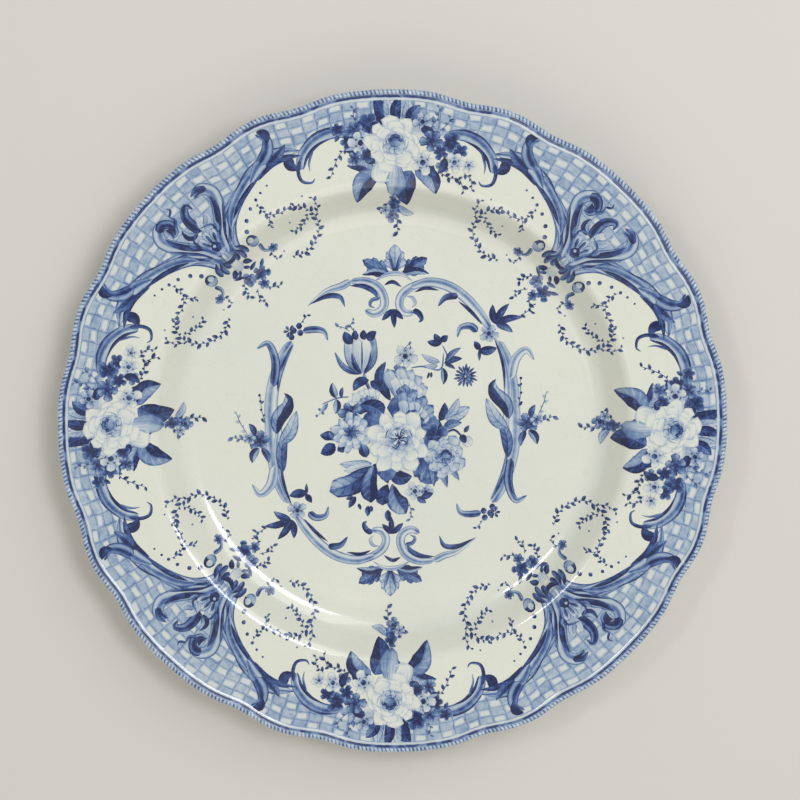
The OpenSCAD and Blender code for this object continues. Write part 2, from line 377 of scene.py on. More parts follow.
def border_ground():
    """The printed ground of the marly: basketweave, and the lines that follow the edge.
    White slips of about 4 by 2 mm stand in rows in a pale blue ground, each row one slip on
    from the last, and a dark broken line shadows the moulded edge."""
    made, tree = new_material("basketweave_print_under_glaze")
    spot = add(tree, PLACE, out="Object")
    x, y, _ = (add(tree, SPLIT, [spot], out=i) for i in range(3))
    inward = add(tree, ATTRIBUTE, out="Fac", attribute_name="inward")
    woven = add(tree, ATTRIBUTE, out="Fac", attribute_name="woven")
    sway = add(tree, NOISE, {"Vector": spot, "Scale": 200.0, "Detail": 1.0})
    shake = add(tree, NOISE, {"Vector": spot, "Scale": 420.0, "Detail": 2.0})

    angle = add(tree, "ARCTAN2", [y, x])
    per_turn = weave_columns / math.tau
    columns = add(tree, "MULTIPLY_ADD", [angle, per_turn, weave_columns])
    columns = add(tree, "MULTIPLY_ADD", [shake, 0.3, columns])
    depth = add(tree, "MULTIPLY_ADD", [inward, 1 / weave_row, -moulding_w / weave_row])
    rows = add(tree, "MULTIPLY_ADD", [sway, 0.35, depth])
    column = add(tree, "FLOOR", [columns])
    row = add(tree, "FLOOR", [rows])
    in_column = add(tree, "FRACT", [columns])
    in_row = add(tree, "FRACT", [rows])

    # How near a point is to the joints of its slip, 0 on a joint and 1 in the middle
    centred_column = add(tree, "SUBTRACT", [in_column, 0.5])
    centred_row = add(tree, "SUBTRACT", [in_row, 0.5])
    off_column = add(tree, "ABSOLUTE", [centred_column])
    off_row = add(tree, "ABSOLUTE", [centred_row])
    inside_column = add(tree, RANGE, [off_column, 0.4, 0.24, 0.0, 1.0])
    inside_row = add(tree, RANGE, [off_row, 0.34, 0.16, 0.0, 1.0])
    rounded = add(tree, "MULTIPLY", [inside_column, inside_row])
    slip = add(tree, RANGE, [rounded, 0.1, 0.5, 0.0, 1.0])
    both = add(tree, "ADD", [column, row])
    odd = add(tree, "FLOORED_MODULO", [both, 2.0])
    pick = add(tree, "GREATER_THAN", [odd, 0.5])
    white = add(tree, "MULTIPLY", [slip, pick])

    # The blue slips, each a shade of its own, with darker joints
    cell = add(tree, "ShaderNodeCombineXYZ", [column, row])
    own = add(tree, "ShaderNodeTexWhiteNoise", [cell], noise_dimensions="3D")
    shade = add(tree, RANGE, [own, 0.0, 1.0, 0.26, 0.38])
    joint = add(tree, "MAXIMUM", [off_column, off_row])
    dark_joint = add(tree, RANGE, [joint, 0.42, 0.5, 0.0, 0.24])
    wiped = add(tree, RANGE, [shake, 0.35, 0.65, -0.07, 0.07])
    blue = add(tree, "ADD", [shade, dark_joint])
    blue = add(tree, "ADD", [blue, wiped])
    weave = add(tree, MIX, {"Factor": white, 2: blue, 3: 0.08}, data_type="FLOAT")
    tone = add(tree, "MULTIPLY", [weave, woven])

    # Lines along the edge, from the rope inwards: dark and broken, bare, then thin and blue
    ragged = add(tree, "MULTIPLY_ADD", [shake, 0.5, inward])
    in_cm = add(tree, "MULTIPLY", [ragged, 0.1])
    lines = add(tree, RAMP, [in_cm], stops=edge_line_tones)
    skip = add(tree, RANGE, [sway, 0.38, 0.5, 0.6, 1.0])
    lines = add(tree, "MULTIPLY", [lines, skip])
    within = add(tree, RANGE, [ragged, moulding_w + 0.2, moulding_w + 0.5, 1.0, 0.0])
    tone = add(tree, MIX, {"Factor": within, 2: tone, 3: lines}, data_type="FLOAT")
    glaze_over(tree, tone)
    return made


def rope_glaze():
    """The moulded rope edge: glaze runs off the strands and the blue stays in the grooves."""
    made, tree = new_material("blue_tinted_rope_edge")
    groove = add(tree, ATTRIBUTE, out="Fac", attribute_name="groove")
    spot = add(tree, PLACE, out="Object")
    blot = add(tree, NOISE, {"Vector": spot, "Scale": 380.0, "Detail": 3.0})
    tint = add(tree, RANGE, [groove, 0.15, 0.9, 0.24, 0.78])
    uneven = add(tree, RANGE, [blot, 0.35, 0.65, 0.6, 1.3])
    glaze_over(tree, add(tree, "MULTIPLY", [tint, uneven]))
    return made


def bare_clay():
    """Fired earthenware wiped clean of glaze: matt, fine-grained and a little stained."""
    made, tree = new_material("bare_fired_earthenware")
    spot = add(tree, PLACE, out="Object")
    grit = add(tree, NOISE, {"Vector": spot, "Scale": 2500.0, "Detail": 3.0})
    stain = add(tree, NOISE, {"Vector": spot, "Scale": 60.0, "Detail": 4.0})
    colour = add(tree, RAMP, [stain], stops=[(0.3, "e3dac6"), (0.6, "d6c8ab"), (0.8, "b9a27c")])
    bump = add(tree, "ShaderNodeBump", {"Strength": 0.5, "Distance": 0.00008, "Height": grit})
    rough = add(tree, RANGE, [grit, 0.3, 0.7, 0.75, 0.95])
    fired = {"Base Color": colour, "Roughness": rough, "IOR": 1.5, "Normal": bump}
    shader = add(tree, SURFACE, fired)
    add(tree, OUTPUT, [shader])
    return made


# ---------------------------------------------------------------- the plate


def finish(bm, name, material, nodes):
    """Makes a riding piece of a bmesh that stands for some of the solids."""
    mesh = bpy.data.meshes.new(name)
    bm.to_mesh(mesh)
    bm.free()
    mesh.materials.append(material)
    mesh.polygons.foreach_set("use_smooth", [True] * len(mesh.polygons))
    piece = bpy.data.objects.new(name, mesh)
    bpy.context.scene.collection.objects.link(piece)
    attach(piece, "root")
    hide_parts(*nodes)
    return piece


def turned(profile, steps):
    """A bmesh of a profile of (distance from the axis, height) turned once round the axis:
    a grid bent round, whose first and last columns and whose pole are welded."""
    bm = bmesh.new()
    rows = len(profile) - 1
    made = bmesh.ops.create_grid(bm, x_segments=steps, y_segments=rows, size=0.5)
    for vert in made["verts"]:
        angle = (vert.co.x + 0.5) * math.tau
        r, z = profile[round((vert.co.y + 0.5) * rows)]
        vert.co = (r * math.cos(angle), r * math.sin(angle), z)
    bmesh.ops.remove_doubles(bm, verts=bm.verts, dist=0.001)
    return bm


def face_up(bm, up):
    """Turns the faces of an open surface over if they look the wrong way."""
    lean = sum(face.normal.z * face.calc_area() for face in bm.faces)
    if (lean > 0) != up:
        bmesh.ops.reverse_faces(bm, faces=bm.faces)


def spread(start, end, step):
    """Distances from start to end, evenly spaced by about step."""
    count = max(1, round(abs(end - start) / step))
    return [start + (end - start) * i / count for i in range(count + 1)]


def to_metres(bm):
    """Brings a bmesh from millimetres to metres."""
    bmesh.ops.scale(bm, vec=(MM, MM, MM), verts=bm.verts)


def make_well(material):
    """The well and the foot of the cavetto."""
    radii = spread(0, well_r, 3)[:-1] + spread(well_r, border_in_r, 0.7)
    bm = turned([(r, face_z(r)) for r in radii], 360)
    face_up(bm, True)
    to_metres(bm)
    return finish(bm, "well_face", material, ["face_glaze"])


def scroll_reach_r(x, y):
    """Distance from the axis at which the basketweave begins, in the direction of x, y."""
    angle = math.degrees(math.atan2(y, x)) - print_turn
    from_shell = abs((angle - 45 + 45) % 90 - 45)
    places = sorted((math.degrees(math.atan2(px, py)), math.hypot(px, py)) for px, py in arm_line)
    if from_shell <= places[0][0]:
        return places[0][1]
    for (a, ra), (b, rb) in zip(places, places[1:]):
        if a <= from_shell <= b:
            return ra + (rb - ra) * (from_shell - a) / (b - a)
    return places[-1][1]


def make_border(material):
    """The shoulder and the marly up to the rope, with the small mouldings along the edge."""
    radii = spread(border_in_r, shoulder_r + 2, 0.7)
    radii += spread(shoulder_r + 2, plate_r - 8, 1.1)[1:]
    radii += spread(plate_r - 8, plate_r - 1.6 * rope_r, 0.22)[1:]
    bm = turned([(r, 0) for r in radii], 900)
    inward = bm.verts.layers.float.new("inward")
    woven = bm.verts.layers.float.new("woven")
    for vert in bm.verts:
        x, y, _ = vert.co
        r = math.hypot(x, y)
        dip = scallop_dip(x, y)
        from_edge = plate_r - r
        fillet = fillet_h * hump(from_edge, fillet_in, fillet_half)
        gutter = gutter_h * hump(from_edge, gutter_in, gutter_half)
        vert.co = Vector((x, y, 0)) * ((r - dip) / r)
        vert.co.z = face_z(r - dip) + fillet - gutter
        vert[inward] = from_edge
        reach = scroll_reach_r(x, y)
        vert[woven] = min(1, max(0, r - dip - reach))
    face_up(bm, True)
    to_metres(bm)
    nodes = ["rim_basketweave_print", "edge_line_print"]
    return finish(bm, "border_face", material, nodes)


def rope_z(dip):
    """Height of the middle of the rope where the edge draws in by dip."""
    return face_z(plate_r - rope_r) - rope_r + 0.2 - dip * math.tan(marly_slope)


def make_rope(material):
    """The upper lip, moulded as a fine twisted rope from the gutter round to the outside."""
    angles = [math.radians(a) for a in spread(155, -75, 23)]
    middle_r = plate_r - rope_r
    section = [(middle_r + rope_r * math.cos(a), rope_r * math.sin(a)) for a in angles]
    bm = turned(section, rope_twists * 6)
    groove = bm.verts.layers.float.new("groove")
    for vert in bm.verts:
        x, y, z = vert.co
        r = math.hypot(x, y)
        turn = math.atan2(y, x)
        round_rope = math.atan2(z, r - plate_r + rope_r)
        strand = abs(math.sin((rope_twists * turn + 1.4 * round_rope) / 2))
        cut = (1 - strand) ** 1.4
        top = 0.55 + 0.45 * math.sin(round_rope)
        vert[groove] = cut * top + 0.25 * max(math.sin(round_rope - 0.6), 0)
        radius = rope_r * (1.02 - 0.2 * cut)
        dip = edge_dip(math.degrees(turn))
        new_r = plate_r - dip - rope_r + radius * math.cos(round_rope)
        vert.co = Vector((x, y, 0)) * (new_r / r)
        vert.co.z = rope_z(dip) + radius * math.sin(round_rope)
    to_metres(bm)
    face_up(bm, True)
    return finish(bm, "rope_edge", material, ["lip_glaze"])


def make_back(material):
    """The glazed back: the foot ring's outer wall, the underside and the plain lower lip."""
    ring_r = foot_r + glaze_t
    wall = [(ring_r - 0.1, 1.0), (ring_r, 1.25), (ring_r, back_z(ring_r) - 0.7)]
    under = [(r, back_z(r)) for r in spread(ring_r + 0.5, shoulder_r + 4, 0.8)]
    under += [(r, back_z(r)) for r in spread(shoulder_r + 4, plate_r - 1.6, 2)[1:]]
    lip_low = back_z(plate_r)
    lip_high = rope_z(0) - rope_r + 0.3
    lip = [
        (plate_r - 1.0, lip_low + 0.1),
        (plate_r - 0.55, lip_low + 0.4),
        (plate_r - 0.35, lip_low + 0.9),
        (plate_r - 0.4, (lip_low + lip_high) / 2),
        (plate_r - 0.6, lip_high),
    ]
    bm = turned(wall + under + lip, 720)
    for vert in bm.verts:
        x, y, z = vert.co
        r = math.hypot(x, y)
        dip = scallop_dip(x, y)
        vert.co = Vector((x, y, 0)) * ((r - dip) / r)
        vert.co.z = z - dip * math.tan(marly_slope)
    face_up(bm, False)
    to_metres(bm)
    return finish(bm, "back_face", material, ["back_glaze"])


def make_foot(material):
    """The foot ring's bare standing face, rounded over to both walls."""
    inner = foot_in_r
    corner = 0.9
    profile = [(inner, 1.4)]
    profile += [
        (inner + corner - corner * math.cos(a), corner - corner * math.sin(a))
        for a in (math.radians(d) for d in spread(0, 90, 15))
    ]
    profile += [
        (foot_r - corner + corner * math.sin(a), corner - corner * math.cos(a))
        for a in (math.radians(d) for d in spread(0, 90, 15))
    ]
    profile += [(foot_r, 1.4)]
    bm = turned(profile, 360)
    face_up(bm, False)
    to_metres(bm)
    return finish(bm, "foot_ring_bare_clay", material, ["biscuit_body"])


def make_recess(material):
    """The glazed underside of the well, inside the foot ring, with its wall."""
    corner = 1.2
    sag = 0.1
    middle = (foot_in_r - corner, recess_z + sag - corner)
    profile = [(r, recess_z + sag * (r / foot_in_r) ** 2) for r in spread(0, middle[0], 4)]
    profile += [
        (middle[0] + corner * math.sin(a), middle[1] + corner * math.cos(a))
        for a in (math.radians(d) for d in spread(15, 90, 15))
    ]
    profile += [(foot_in_r, 1.2)]
    bm = turned(profile, 360)
    face_up(bm, False)
    to_metres(bm)
    return finish(bm, "foot_well_face", material, ["foot_well_glaze"])


# ---------------------------------------------------------------- marks of the print

# How a mark widens along its length: where it is widest, and how full its ends are
LEAF = (0.44, 0.72)
PETAL = (0.64, 0.45)
CUP = (0.58, 0.6)
RIBBON = (0.5, 0.22)
LENS = (0.5, 0.8)
HORN = (0.22, 0.55)
ROUND = (0.5, 0.5)

# The wash of a mark: tone at the root and at the tip, the outline, and one half's extra depth
NAVY = (0.98, 0.82, 0.08, 0.12)
DEEP = (0.85, 0.6, 0.15, 0.2)
HALVED = (0.5, 0.28, 0.3, 0.6)
MIDDLE = (0.66, 0.38, 0.28, 0.16)
PALE = (0.36, 0.14, 0.34, 0.1)
FAINT = (0.2, 0.06, 0.24, 0.05)
WHITE = (0.22, 0.0, 0.2, 0.0)
STEM = (0.72, 0.6, 0.0, 0.0)
BLOOM = (0.96, 0.6, -0.24, 0.1)
SHADE = (0.8, 0.6, 0.0, 0.0)
SCROLL = (0.44, 0.34, 0.26, 0.16)
WORN = (0.32, 0.18, 0.3, 0.14)
BAND = (0.24, 0.2, 0.2, 0.14)
PLUME = (0.36, 0.3, 0.0, 0.0)
ROLLED = (0.6, 0.5, 0.2, 0.2)
SPLIT_LEAF = (0.56, 0.44, 0.22, 0.5)
SPLIT_LEAF_PALER = (0.56, 0.42, 0.22, 0.5)
NAVY_TIP = (0.72, 0.9, 0.1, 0.2)
ROSE_LIP = (0.1, 0.34, 0.2, 0.2)
BROAD_LEAF = (0.86, 0.26, 0.3, 0.3)
HANGING_LEAF = (0.44, 0.85, 0.2, 0.4)
LOW_LEAF = (0.7, 0.36, 0.3, 0.45)
BLUE_PETAL = (0.9, 0.5, 0.14, 0.2)
PEONY_MIDDLE = (0.42, 0.04, 0.22, 0.08)
PEONY_CUP = (0.62, 0.16, 0.26, 0.1)

# Leaves in these washes show pale veins
DEEP_LEAVES = (NAVY, DEEP, SPLIT_LEAF, SPLIT_LEAF_PALER, NAVY_TIP)

# The lines of a mark: veins, a fan from the root, stripes along it
PLAIN = (0.0, 0.0, 0.0)
VEINED = (0.4, 0.0, 0.0)
LIGHT_VEINED = (-0.32, 0.0, 0.0)
FANNED = (0.0, 0.38, 0.0)
LIGHTLY_FANNED = (0.0, 0.2, 0.0)
STRIPED = (0.0, 0.0, 0.16)

# Height of the first mark over the glaze, and how much higher each next mark and level lies
first_lift = 0.035
lift_step = 0.0007
level_step = 0.03


def between(points, t):
    """A point of a smooth curve that passes through all the points, for t from 0 to 1."""
    if len(points) == 2:
        (ax, ay), (bx, by) = points
        return Vector((ax + (bx - ax) * t, ay + (by - ay) * t))
    place_on = t * (len(points) - 1)
    i = min(int(place_on), len(points) - 2)
    s = place_on - i
    p1, p2 = Vector(points[i]), Vector(points[i + 1])
    p0 = Vector(points[i - 1]) if i > 0 else 2 * p1 - p2
    p3 = Vector(points[i + 2]) if i + 2 < len(points) else 2 * p2 - p1
    bend = 2 * p0 - 5 * p1 + 4 * p2 - p3
    twist = 3 * p1 - p0 - 3 * p2 + p3
    return 0.5 * (2 * p1 + (p2 - p0) * s + bend * s * s + twist * s**3)


class Print:
    """One area of the print, drawn mark by mark and laid on the face."""

    def __init__(self, turn=0.0):
        self.bm = bmesh.new()
        layers = self.bm.verts.layers
        self.stroke = layers.float_vector.new("stroke")
        self.wash = layers.float_vector.new("wash")
        self.lines = layers.float_vector.new("lines")
        self.half = layers.float.new("half_shade")
        self.turn = Matrix.Rotation(math.radians(turn), 2)
        self.flip = 1
        self.lift = first_lift

    def level(self):
        """Starts a new level, clear of all marks so far even where the face bends."""
        self.lift += level_step

    def mark(self, points, width, wash, lines=PLAIN, shape=LEAF, steps=8, ruffle=0.0):
        """One mark along a smooth curve through the points, from its root to its tip."""
        peak, full = shape
        power = math.log(0.5) / math.log(peak)
        nearest = min(math.hypot(x, y) for x, y in points)
        bends = nearest < shoulder_r + 1 and width > 1 and math.hypot(*points[-1]) > well_r - 4
        columns = 2 * steps if bends else steps
        rows = 6 if bends else 4
        made = bmesh.ops.create_grid(self.bm, x_segments=columns, y_segments=rows, size=0.5)
        spots = {}
        for vert in made["verts"]:
            t, s = vert.co.x + 0.5, vert.co.y + 0.5
            key = round(t, 4)
            if key not in spots:
                centre = between(points, t)
                ahead = between(points, min(t + 0.02, 1)) - between(points, max(t - 0.02, 0))
                heading = ahead.normalized() if ahead.length else Vector((0, 1))
                swell = max(math.sin(math.pi * t**power), 0) ** full if 0 < t < 1 else 0
                spots[key] = (centre, Vector((-heading.y, heading.x)), max(swell, 0.04) * width)
            centre, left, breadth = spots[key]
            frill = 1 + ruffle * math.sin(9 * t + 5 * s + 3 * points[0][0])
            x, y = centre + left * (s - 0.5) * breadth * frill
            spot = self.turn @ Vector((x * self.flip, y))
            vert.co = place(spot.x, spot.y, face_z(spot.length) + self.lift)
            vert[self.stroke] = (t, s, width)
            vert[self.wash] = wash[:3]
            vert[self.lines] = lines
            vert[self.half] = wash[3]
        self.lift += lift_step

    def bowed(self, root, tip, width, wash, lines=PLAIN, shape=LEAF, bow=0.0, ruffle=0.0):
        """A mark from root to tip that bows to one side by a share of its length."""
        root, tip = Vector(root), Vector(tip)
        way = tip - root
        middle = (root + tip) / 2 + Vector((-way.y, way.x)) * bow
        self.mark([tuple(root), tuple(middle), tuple(tip)], width, wash, lines, shape, 8, ruffle)

    def leaf(self, root, tip, width, wash, bow=0.0, ruffle=0.0):
        """A bowed leaf: a deep one shows pale veins, a pale one shows dark veins."""
        lines = LIGHT_VEINED if wash in DEEP_LEAVES else VEINED
        self.bowed(root, tip, width, wash, lines, LEAF, bow, ruffle)

    def line(self, points, width, wash, steps):
        """A line that swells in the middle, as a graver cuts it."""
        self.mark(points, width, wash, PLAIN, LENS, steps)

    def dot(self, at, r, wash=NAVY):
        """A round dot, or the round shade under a flower."""
        x, y = at
        self.mark([(x - r, y), (x + r, y)], 2 * r, wash, PLAIN, ROUND, steps=5)

    def stem(self, points, width=0.4, wash=STEM):
        """A stem of even width."""
        self.mark(points, width, wash, PLAIN, RIBBON, steps=4 * len(points))

    def sprig(self, points, count, leaf, wash=DEEP, stem=0.3):
        """A fine stem with small leaves in turn on its two sides."""
        self.stem(points, stem)
        over_stem = self.lift
        for i in range(count):
            self.lift = over_stem
            t = (i + 0.6) / count
            at = between(points, t)
            ahead = (between(points, min(t + 0.05, 1)) - between(points, t - 0.05)).normalized()
            side = 1 if i % 2 else -1
            heading = Matrix.Rotation(side * 0.9, 2) @ ahead
            size = leaf * (0.82 + 0.3 * math.sin(2.3 * i + points[0][0]))
            self.mark([tuple(at), tuple(at + heading * size)], size * 0.56, wash, PLAIN, LEAF, steps=4)

    def flower(self, at, r, petals, wash, lines=FANNED, start=0.0, slim=1.0, ruffle=0.1, hollow=0.1):
        """A ring of petals round a point, each overlapping the next."""
        centre = Vector(at)
        for k in range(petals):
            angle = start + math.tau * (k + 0.12 * math.sin(5.1 * k + at[0])) / petals
            way = Vector((math.cos(angle), math.sin(angle)))
            size = r * (1 + 0.09 * math.sin(3.7 * k + at[1]))
            width = slim * 2.5 * size / max(petals, 3)
            root = centre + way * r * hollow
            self.mark([tuple(root), tuple(centre + way * size)], width, wash, lines, PETAL, 7, ruffle)

    def rose(self, at, r, outer=WHITE, inner=PALE, heart=DEEP):
        """A full-blown rose: broad outer petals, cupped inner ones and a deep heart."""
        x, y = at
        self.dot(at, 0.8 * r, outer)
        low, right = (x, y - 0.05 * r), (x + 0.02 * r, y)
        self.flower(at, r, 9, outer, PLAIN, start=0.3, slim=2.1, ruffle=0.3)
        self.flower(low, 0.8 * r, 8, outer, PLAIN, start=0.75, slim=2.1, ruffle=0.28)
        self.flower(right, 0.58 * r, 6, outer, LIGHTLY_FANNED, start=0.2, slim=1.9, ruffle=0.25)
        self.fan((x + 0.02 * r, y + 0.02 * r), 0.44 * r, 185, 350, 5, 0.34 * r, inner)
        self.dot((x + 0.06 * r, y + 0.1 * r), 0.24 * r, MIDDLE)
        for k in range(4):
            angle = 0.5 + 0.75 * k
            middle = (x + 0.06 * r, y + 0.04 * r)
            self.crescent(middle, 0.2 * r, angle, 0.45, 0.14 * r, heart)
            self.crescent(middle, 0.33 * r, angle - 0.3, 0.4, 0.1 * r, PALE)
        for k in range(7):
            angle = 3.4 + 0.5 * k
            middle = (x + 0.04 * r, y + 0.1 * r)
            out = (0.3 + 0.09 * (k % 3)) * r
            self.crescent(middle, out, angle, 0.42, 0.05 * r, PALE if k % 3 else MIDDLE)

    def crescent(self, at, r, facing, half, width, wash):
        """A curved fold of a petal, part of a circle round a point."""
        turns = (facing - half, facing - 0.4 * half, facing + 0.4 * half, facing + half)
        arc = [(at[0] + r * math.cos(a), at[1] + r * math.sin(a)) for a in turns]
        self.mark(arc, width, wash, PLAIN, LENS, steps=8)

    def blossom(self, at, r, wash, heart=NAVY):
        """A small round flower head whose petals close up round a dark heart."""
        if wash in (DEEP, NAVY):
            wash = BLOOM
        self.dot(at, 0.6 * r, wash)
        self.flower(at, r, 5, wash, FANNED, start=at[0], slim=1.45, ruffle=0.12)
        self.dot(at, 0.24 * r, heart)
        for k in range(5):
            angle = at[0] + math.tau * (k + 0.5) / 5
            self.crescent(at, 0.45 * r, angle, 0.3, 0.1 * r, heart)

    def acanthus(self, root, tip, width, wash, lines=VEINED):
        """A lobed leaf: two pairs of side lobes under one long middle lobe."""
        root, tip = Vector(root), Vector(tip)
        way = tip - root
        across = Vector((-way.y, way.x)).normalized() * width
        for at, out, long in ((0.12, 0.5, 0.5), (0.34, 0.42, 0.74)):
            for side in (-1, 1):
                lobe = root + way * long + across * side * out
                self.bowed(root + way * at, lobe, 0.5 * width, wash, lines, PETAL, bow=-0.16 * side)
        self.bowed(root, tip, 0.6 * width, wash, lines, PETAL)

    def fan(self, root, length, start, end, petals, width, wash, lines=FANNED):
        """Ruffled petals that spread from one root, between two directions in degrees."""
        for k in range(petals):
            angle = math.radians(start + (end - start) * k / (petals - 1))
            reach = length * (1 + 0.1 * math.sin(2.9 * k + root[0]))
            tip = (root[0] + reach * math.cos(angle), root[1] + reach * math.sin(angle))
            self.bowed(root, tip, width, wash, lines, PETAL, bow=0.06 * math.sin(4 * k), ruffle=0.22)

    def finish(self, name, material, slot, nodes):
        """Lays the marks down as one piece that shades as the face under it does."""
        bm = self.bm
        bm.normal_update()
        under = [face for face in bm.faces if face.normal.z < 0]
        bmesh.ops.reverse_faces(bm, faces=under)
        piece = finish(bm, name, material, nodes)
        normals = [face_normal(v.co.x / MM, v.co.y / MM) for v in piece.data.vertices]
        piece.data.normals_split_custom_set_from_vertices(normals)
        return piece


# ---------------------------------------------------------------- the border print

# Middle line of a scroll arm, on the right of a shell whose axis is +Y
arm_line = [(3.5, 92), (5.5, 98), (10.5, 103.5), (19, 107.2), (29, 109), (40, 108.5), (49, 105)]


def draw_scroll_arm(p):
    """One arm: rolled leaves that grow out of each other and sweep away from the shell."""
    p.mark(arm_line, 6.6, SCROLL, STRIPED, HORN, steps=30)
    p.line([(2, 93), (3.6, 99), (8.4, 104.4), (16, 108)], 1.2, NAVY, steps=14)
    p.mark([(5, 94), (7.4, 99), (12.6, 102.8), (20, 104.8)], 2.0, MIDDLE, STRIPED, LENS, steps=14)
    p.line([(6.6, 99), (10, 102.4), (15, 104.6)], 0.7, NAVY, steps=10)
    p.mark([(9, 100.6), (16, 105.6), (27, 109.4), (38, 110.6)], 5.0, SCROLL, STRIPED, steps=20)
    p.mark([(12, 102.6), (18, 105.2), (26, 107), (34, 107.8)], 2.0, NAVY, LIGHT_VEINED, LENS, steps=20)
    p.mark([(27, 108), (35, 110.4), (43, 108.6), (50, 103.6)], 5.4, SCROLL, STRIPED, steps=20)
    p.mark([(30, 106.6), (38, 107.4), (44, 105.6), (49, 102)], 2.6, NAVY, LIGHT_VEINED, LENS, steps=18)
    p.leaf((36, 108.6), (47.4, 109.4), 3.4, DEEP, bow=-0.1)
    p.line([(20, 109.6), (28, 112.2), (36, 112.8)], 0.8, DEEP, steps=14)
    p.line([(34, 112.4), (41, 112), (47, 108.6)], 0.8, DEEP, steps=14)
    # The rolled leaf that stands on the arm's back
    p.mark([(35, 110.5), (40.6, 112.4), (43.6, 116), (41.6, 120)], 5.0, ROLLED, STRIPED, HORN, steps=14)
    p.line([(42.6, 120.6), (44.6, 117.6), (43, 114.4)], 3.4, NAVY, steps=8)
    # The lobed foot where the arm starts
    for root, tip in (((4, 94), (4.6, 88.5)), ((5, 95), (7.2, 89.5)), ((3, 93.5), (1.8, 90))):
        p.bowed(root, tip, 2.2, DEEP, PLAIN, PETAL, bow=0.12)


def draw_shell_plume(p, curl_in):
    """The C-shaped plume beside the shell: a pale body, a deep belly and a rolled end."""
    p.mark([(0, 96), (5, 104), (9, 112)], 9.0, PLUME, PLAIN, PETAL, steps=12)
    p.mark(
        [(1.6, 95), (4, 101), (8, 106), (12, 111), (14, 116), (11.5, 120), (7.5, 119.5)],
        5.2, SCROLL, STRIPED, RIBBON, steps=30,
    )
    p.line([(4, 101.5), (7.6, 106), (11, 111), (12.4, 116)], 2.5, NAVY, steps=14)
    p.line([(3.4, 95.5), (6.4, 101.4), (10.6, 106.4), (14.4, 111)], 1.1, NAVY, steps=14)
    if curl_in:
        p.mark(
            [(12.4, 119), (9.4, 120.4), (6.6, 118), (7.4, 114.6), (10, 113.8)],
            3.8, DEEP, STRIPED, HORN, steps=16,
        )
        p.line([(9.6, 118), (8.4, 116), (9.6, 114.4)], 2.2, NAVY, steps=8)
    else:
        p.mark([(13.4, 118.6), (10, 121), (6.4, 120.4)], 2.4, DEEP, PLAIN, HORN, steps=10)
        p.line([(12.4, 118), (9.6, 119.4), (7, 118.6)], 1.0, NAVY, steps=10)


def draw_shell(p):
    """The shell between two plumes: looped ribs round a ball, with a palmette over it."""
    p.mark(
        [(0.4, 108), (-0.8, 112), (-0.4, 116.5), (2.6, 119.2), (3.8, 116.5)],
        4.2, DEEP, STRIPED, HORN, steps=16,
    )
    p.leaf((-1.6, 108), (-5.4, 113.5), 3.4, HALVED, bow=0.25)
    p.leaf((-3, 104), (-7, 108.5), 2.8, MIDDLE, bow=0.2)
    p.leaf((3, 104), (6.6, 108), 2.6, MIDDLE, bow=-0.2)
    p.leaf((2, 108), (6.2, 113), 3.6, PALE, bow=-0.2)
    p.leaf((0.8, 107.5), (2.6, 113.5), 2.4, FAINT)
    for side in (-1, 1):
        p.line([(side * 4.6, 103), (side * 4.8, 107.4), (0, 109.4)], 0.9, DEEP, steps=12)
    for x in (-3, 0, 3):
        tall = 107.4 - 0.12 * x * x
        p.mark([(x * 0.5, 101), (x * 1.2, tall)], 3.1, PALE, VEINED, PETAL)
        p.mark([(x * 0.45, 101), (x * 1.05, tall - 1.6)], 1.3, DEEP, PLAIN, PETAL)
    p.dot((0, 99.8), 2.2, NAVY)
    p.dot((-0.5, 100.4), 0.7, PALE)
    p.mark([(-5, 120.6), (-2.8, 122.2), (-3.6, 124)], 1.0, DEEP, PLAIN, HORN, steps=8)
    p.line([(-8.5, 118), (-6, 116.6), (-4.2, 118.4), (-5, 121)], 1.4, DEEP, steps=10)
    # The knot and the pearl under the shell
    p.line([(-3.4, 93.2), (0, 91.6), (3.4, 93.2)], 1.8, NAVY, steps=10)
    p.mark([(0, 86), (0, 91)], 4.0, WHITE, PLAIN, ROUND, steps=8)
    for x in (-2.2, 2.2):
        p.leaf((x, 88.2), (x * 2.4, 86), 2.2, NAVY, bow=0.1)
        p.bowed((x * 0.4, 86.6), (x * 1.4, 84.8), 1.4, DEEP)


def draw_shell_posy(p):
    """The little posy that hangs under the shell."""
    p.sprig([(-1, 84), (-5, 80), (-6, 76)], 8, 2.2)
    p.sprig([(1, 78), (3, 73.5), (7, 71)], 6, 2.2)
    p.sprig([(-1, 77), (-3.5, 73), (-2.5, 70)], 5, 2.0)
    for at, r, wash in (((-1, 81.5), 2.9, MIDDLE), ((4.4, 80), 3.5, DEEP), ((2.2, 76.4), 2.3, MIDDLE)):
        p.blossom(at, r, wash)
    for root, tip in (((-2, 84), (-5.5, 85.5)), ((2, 84), (6, 85)), ((6, 82), (9, 84))):
        p.bowed(root, tip, 1.5, DEEP)


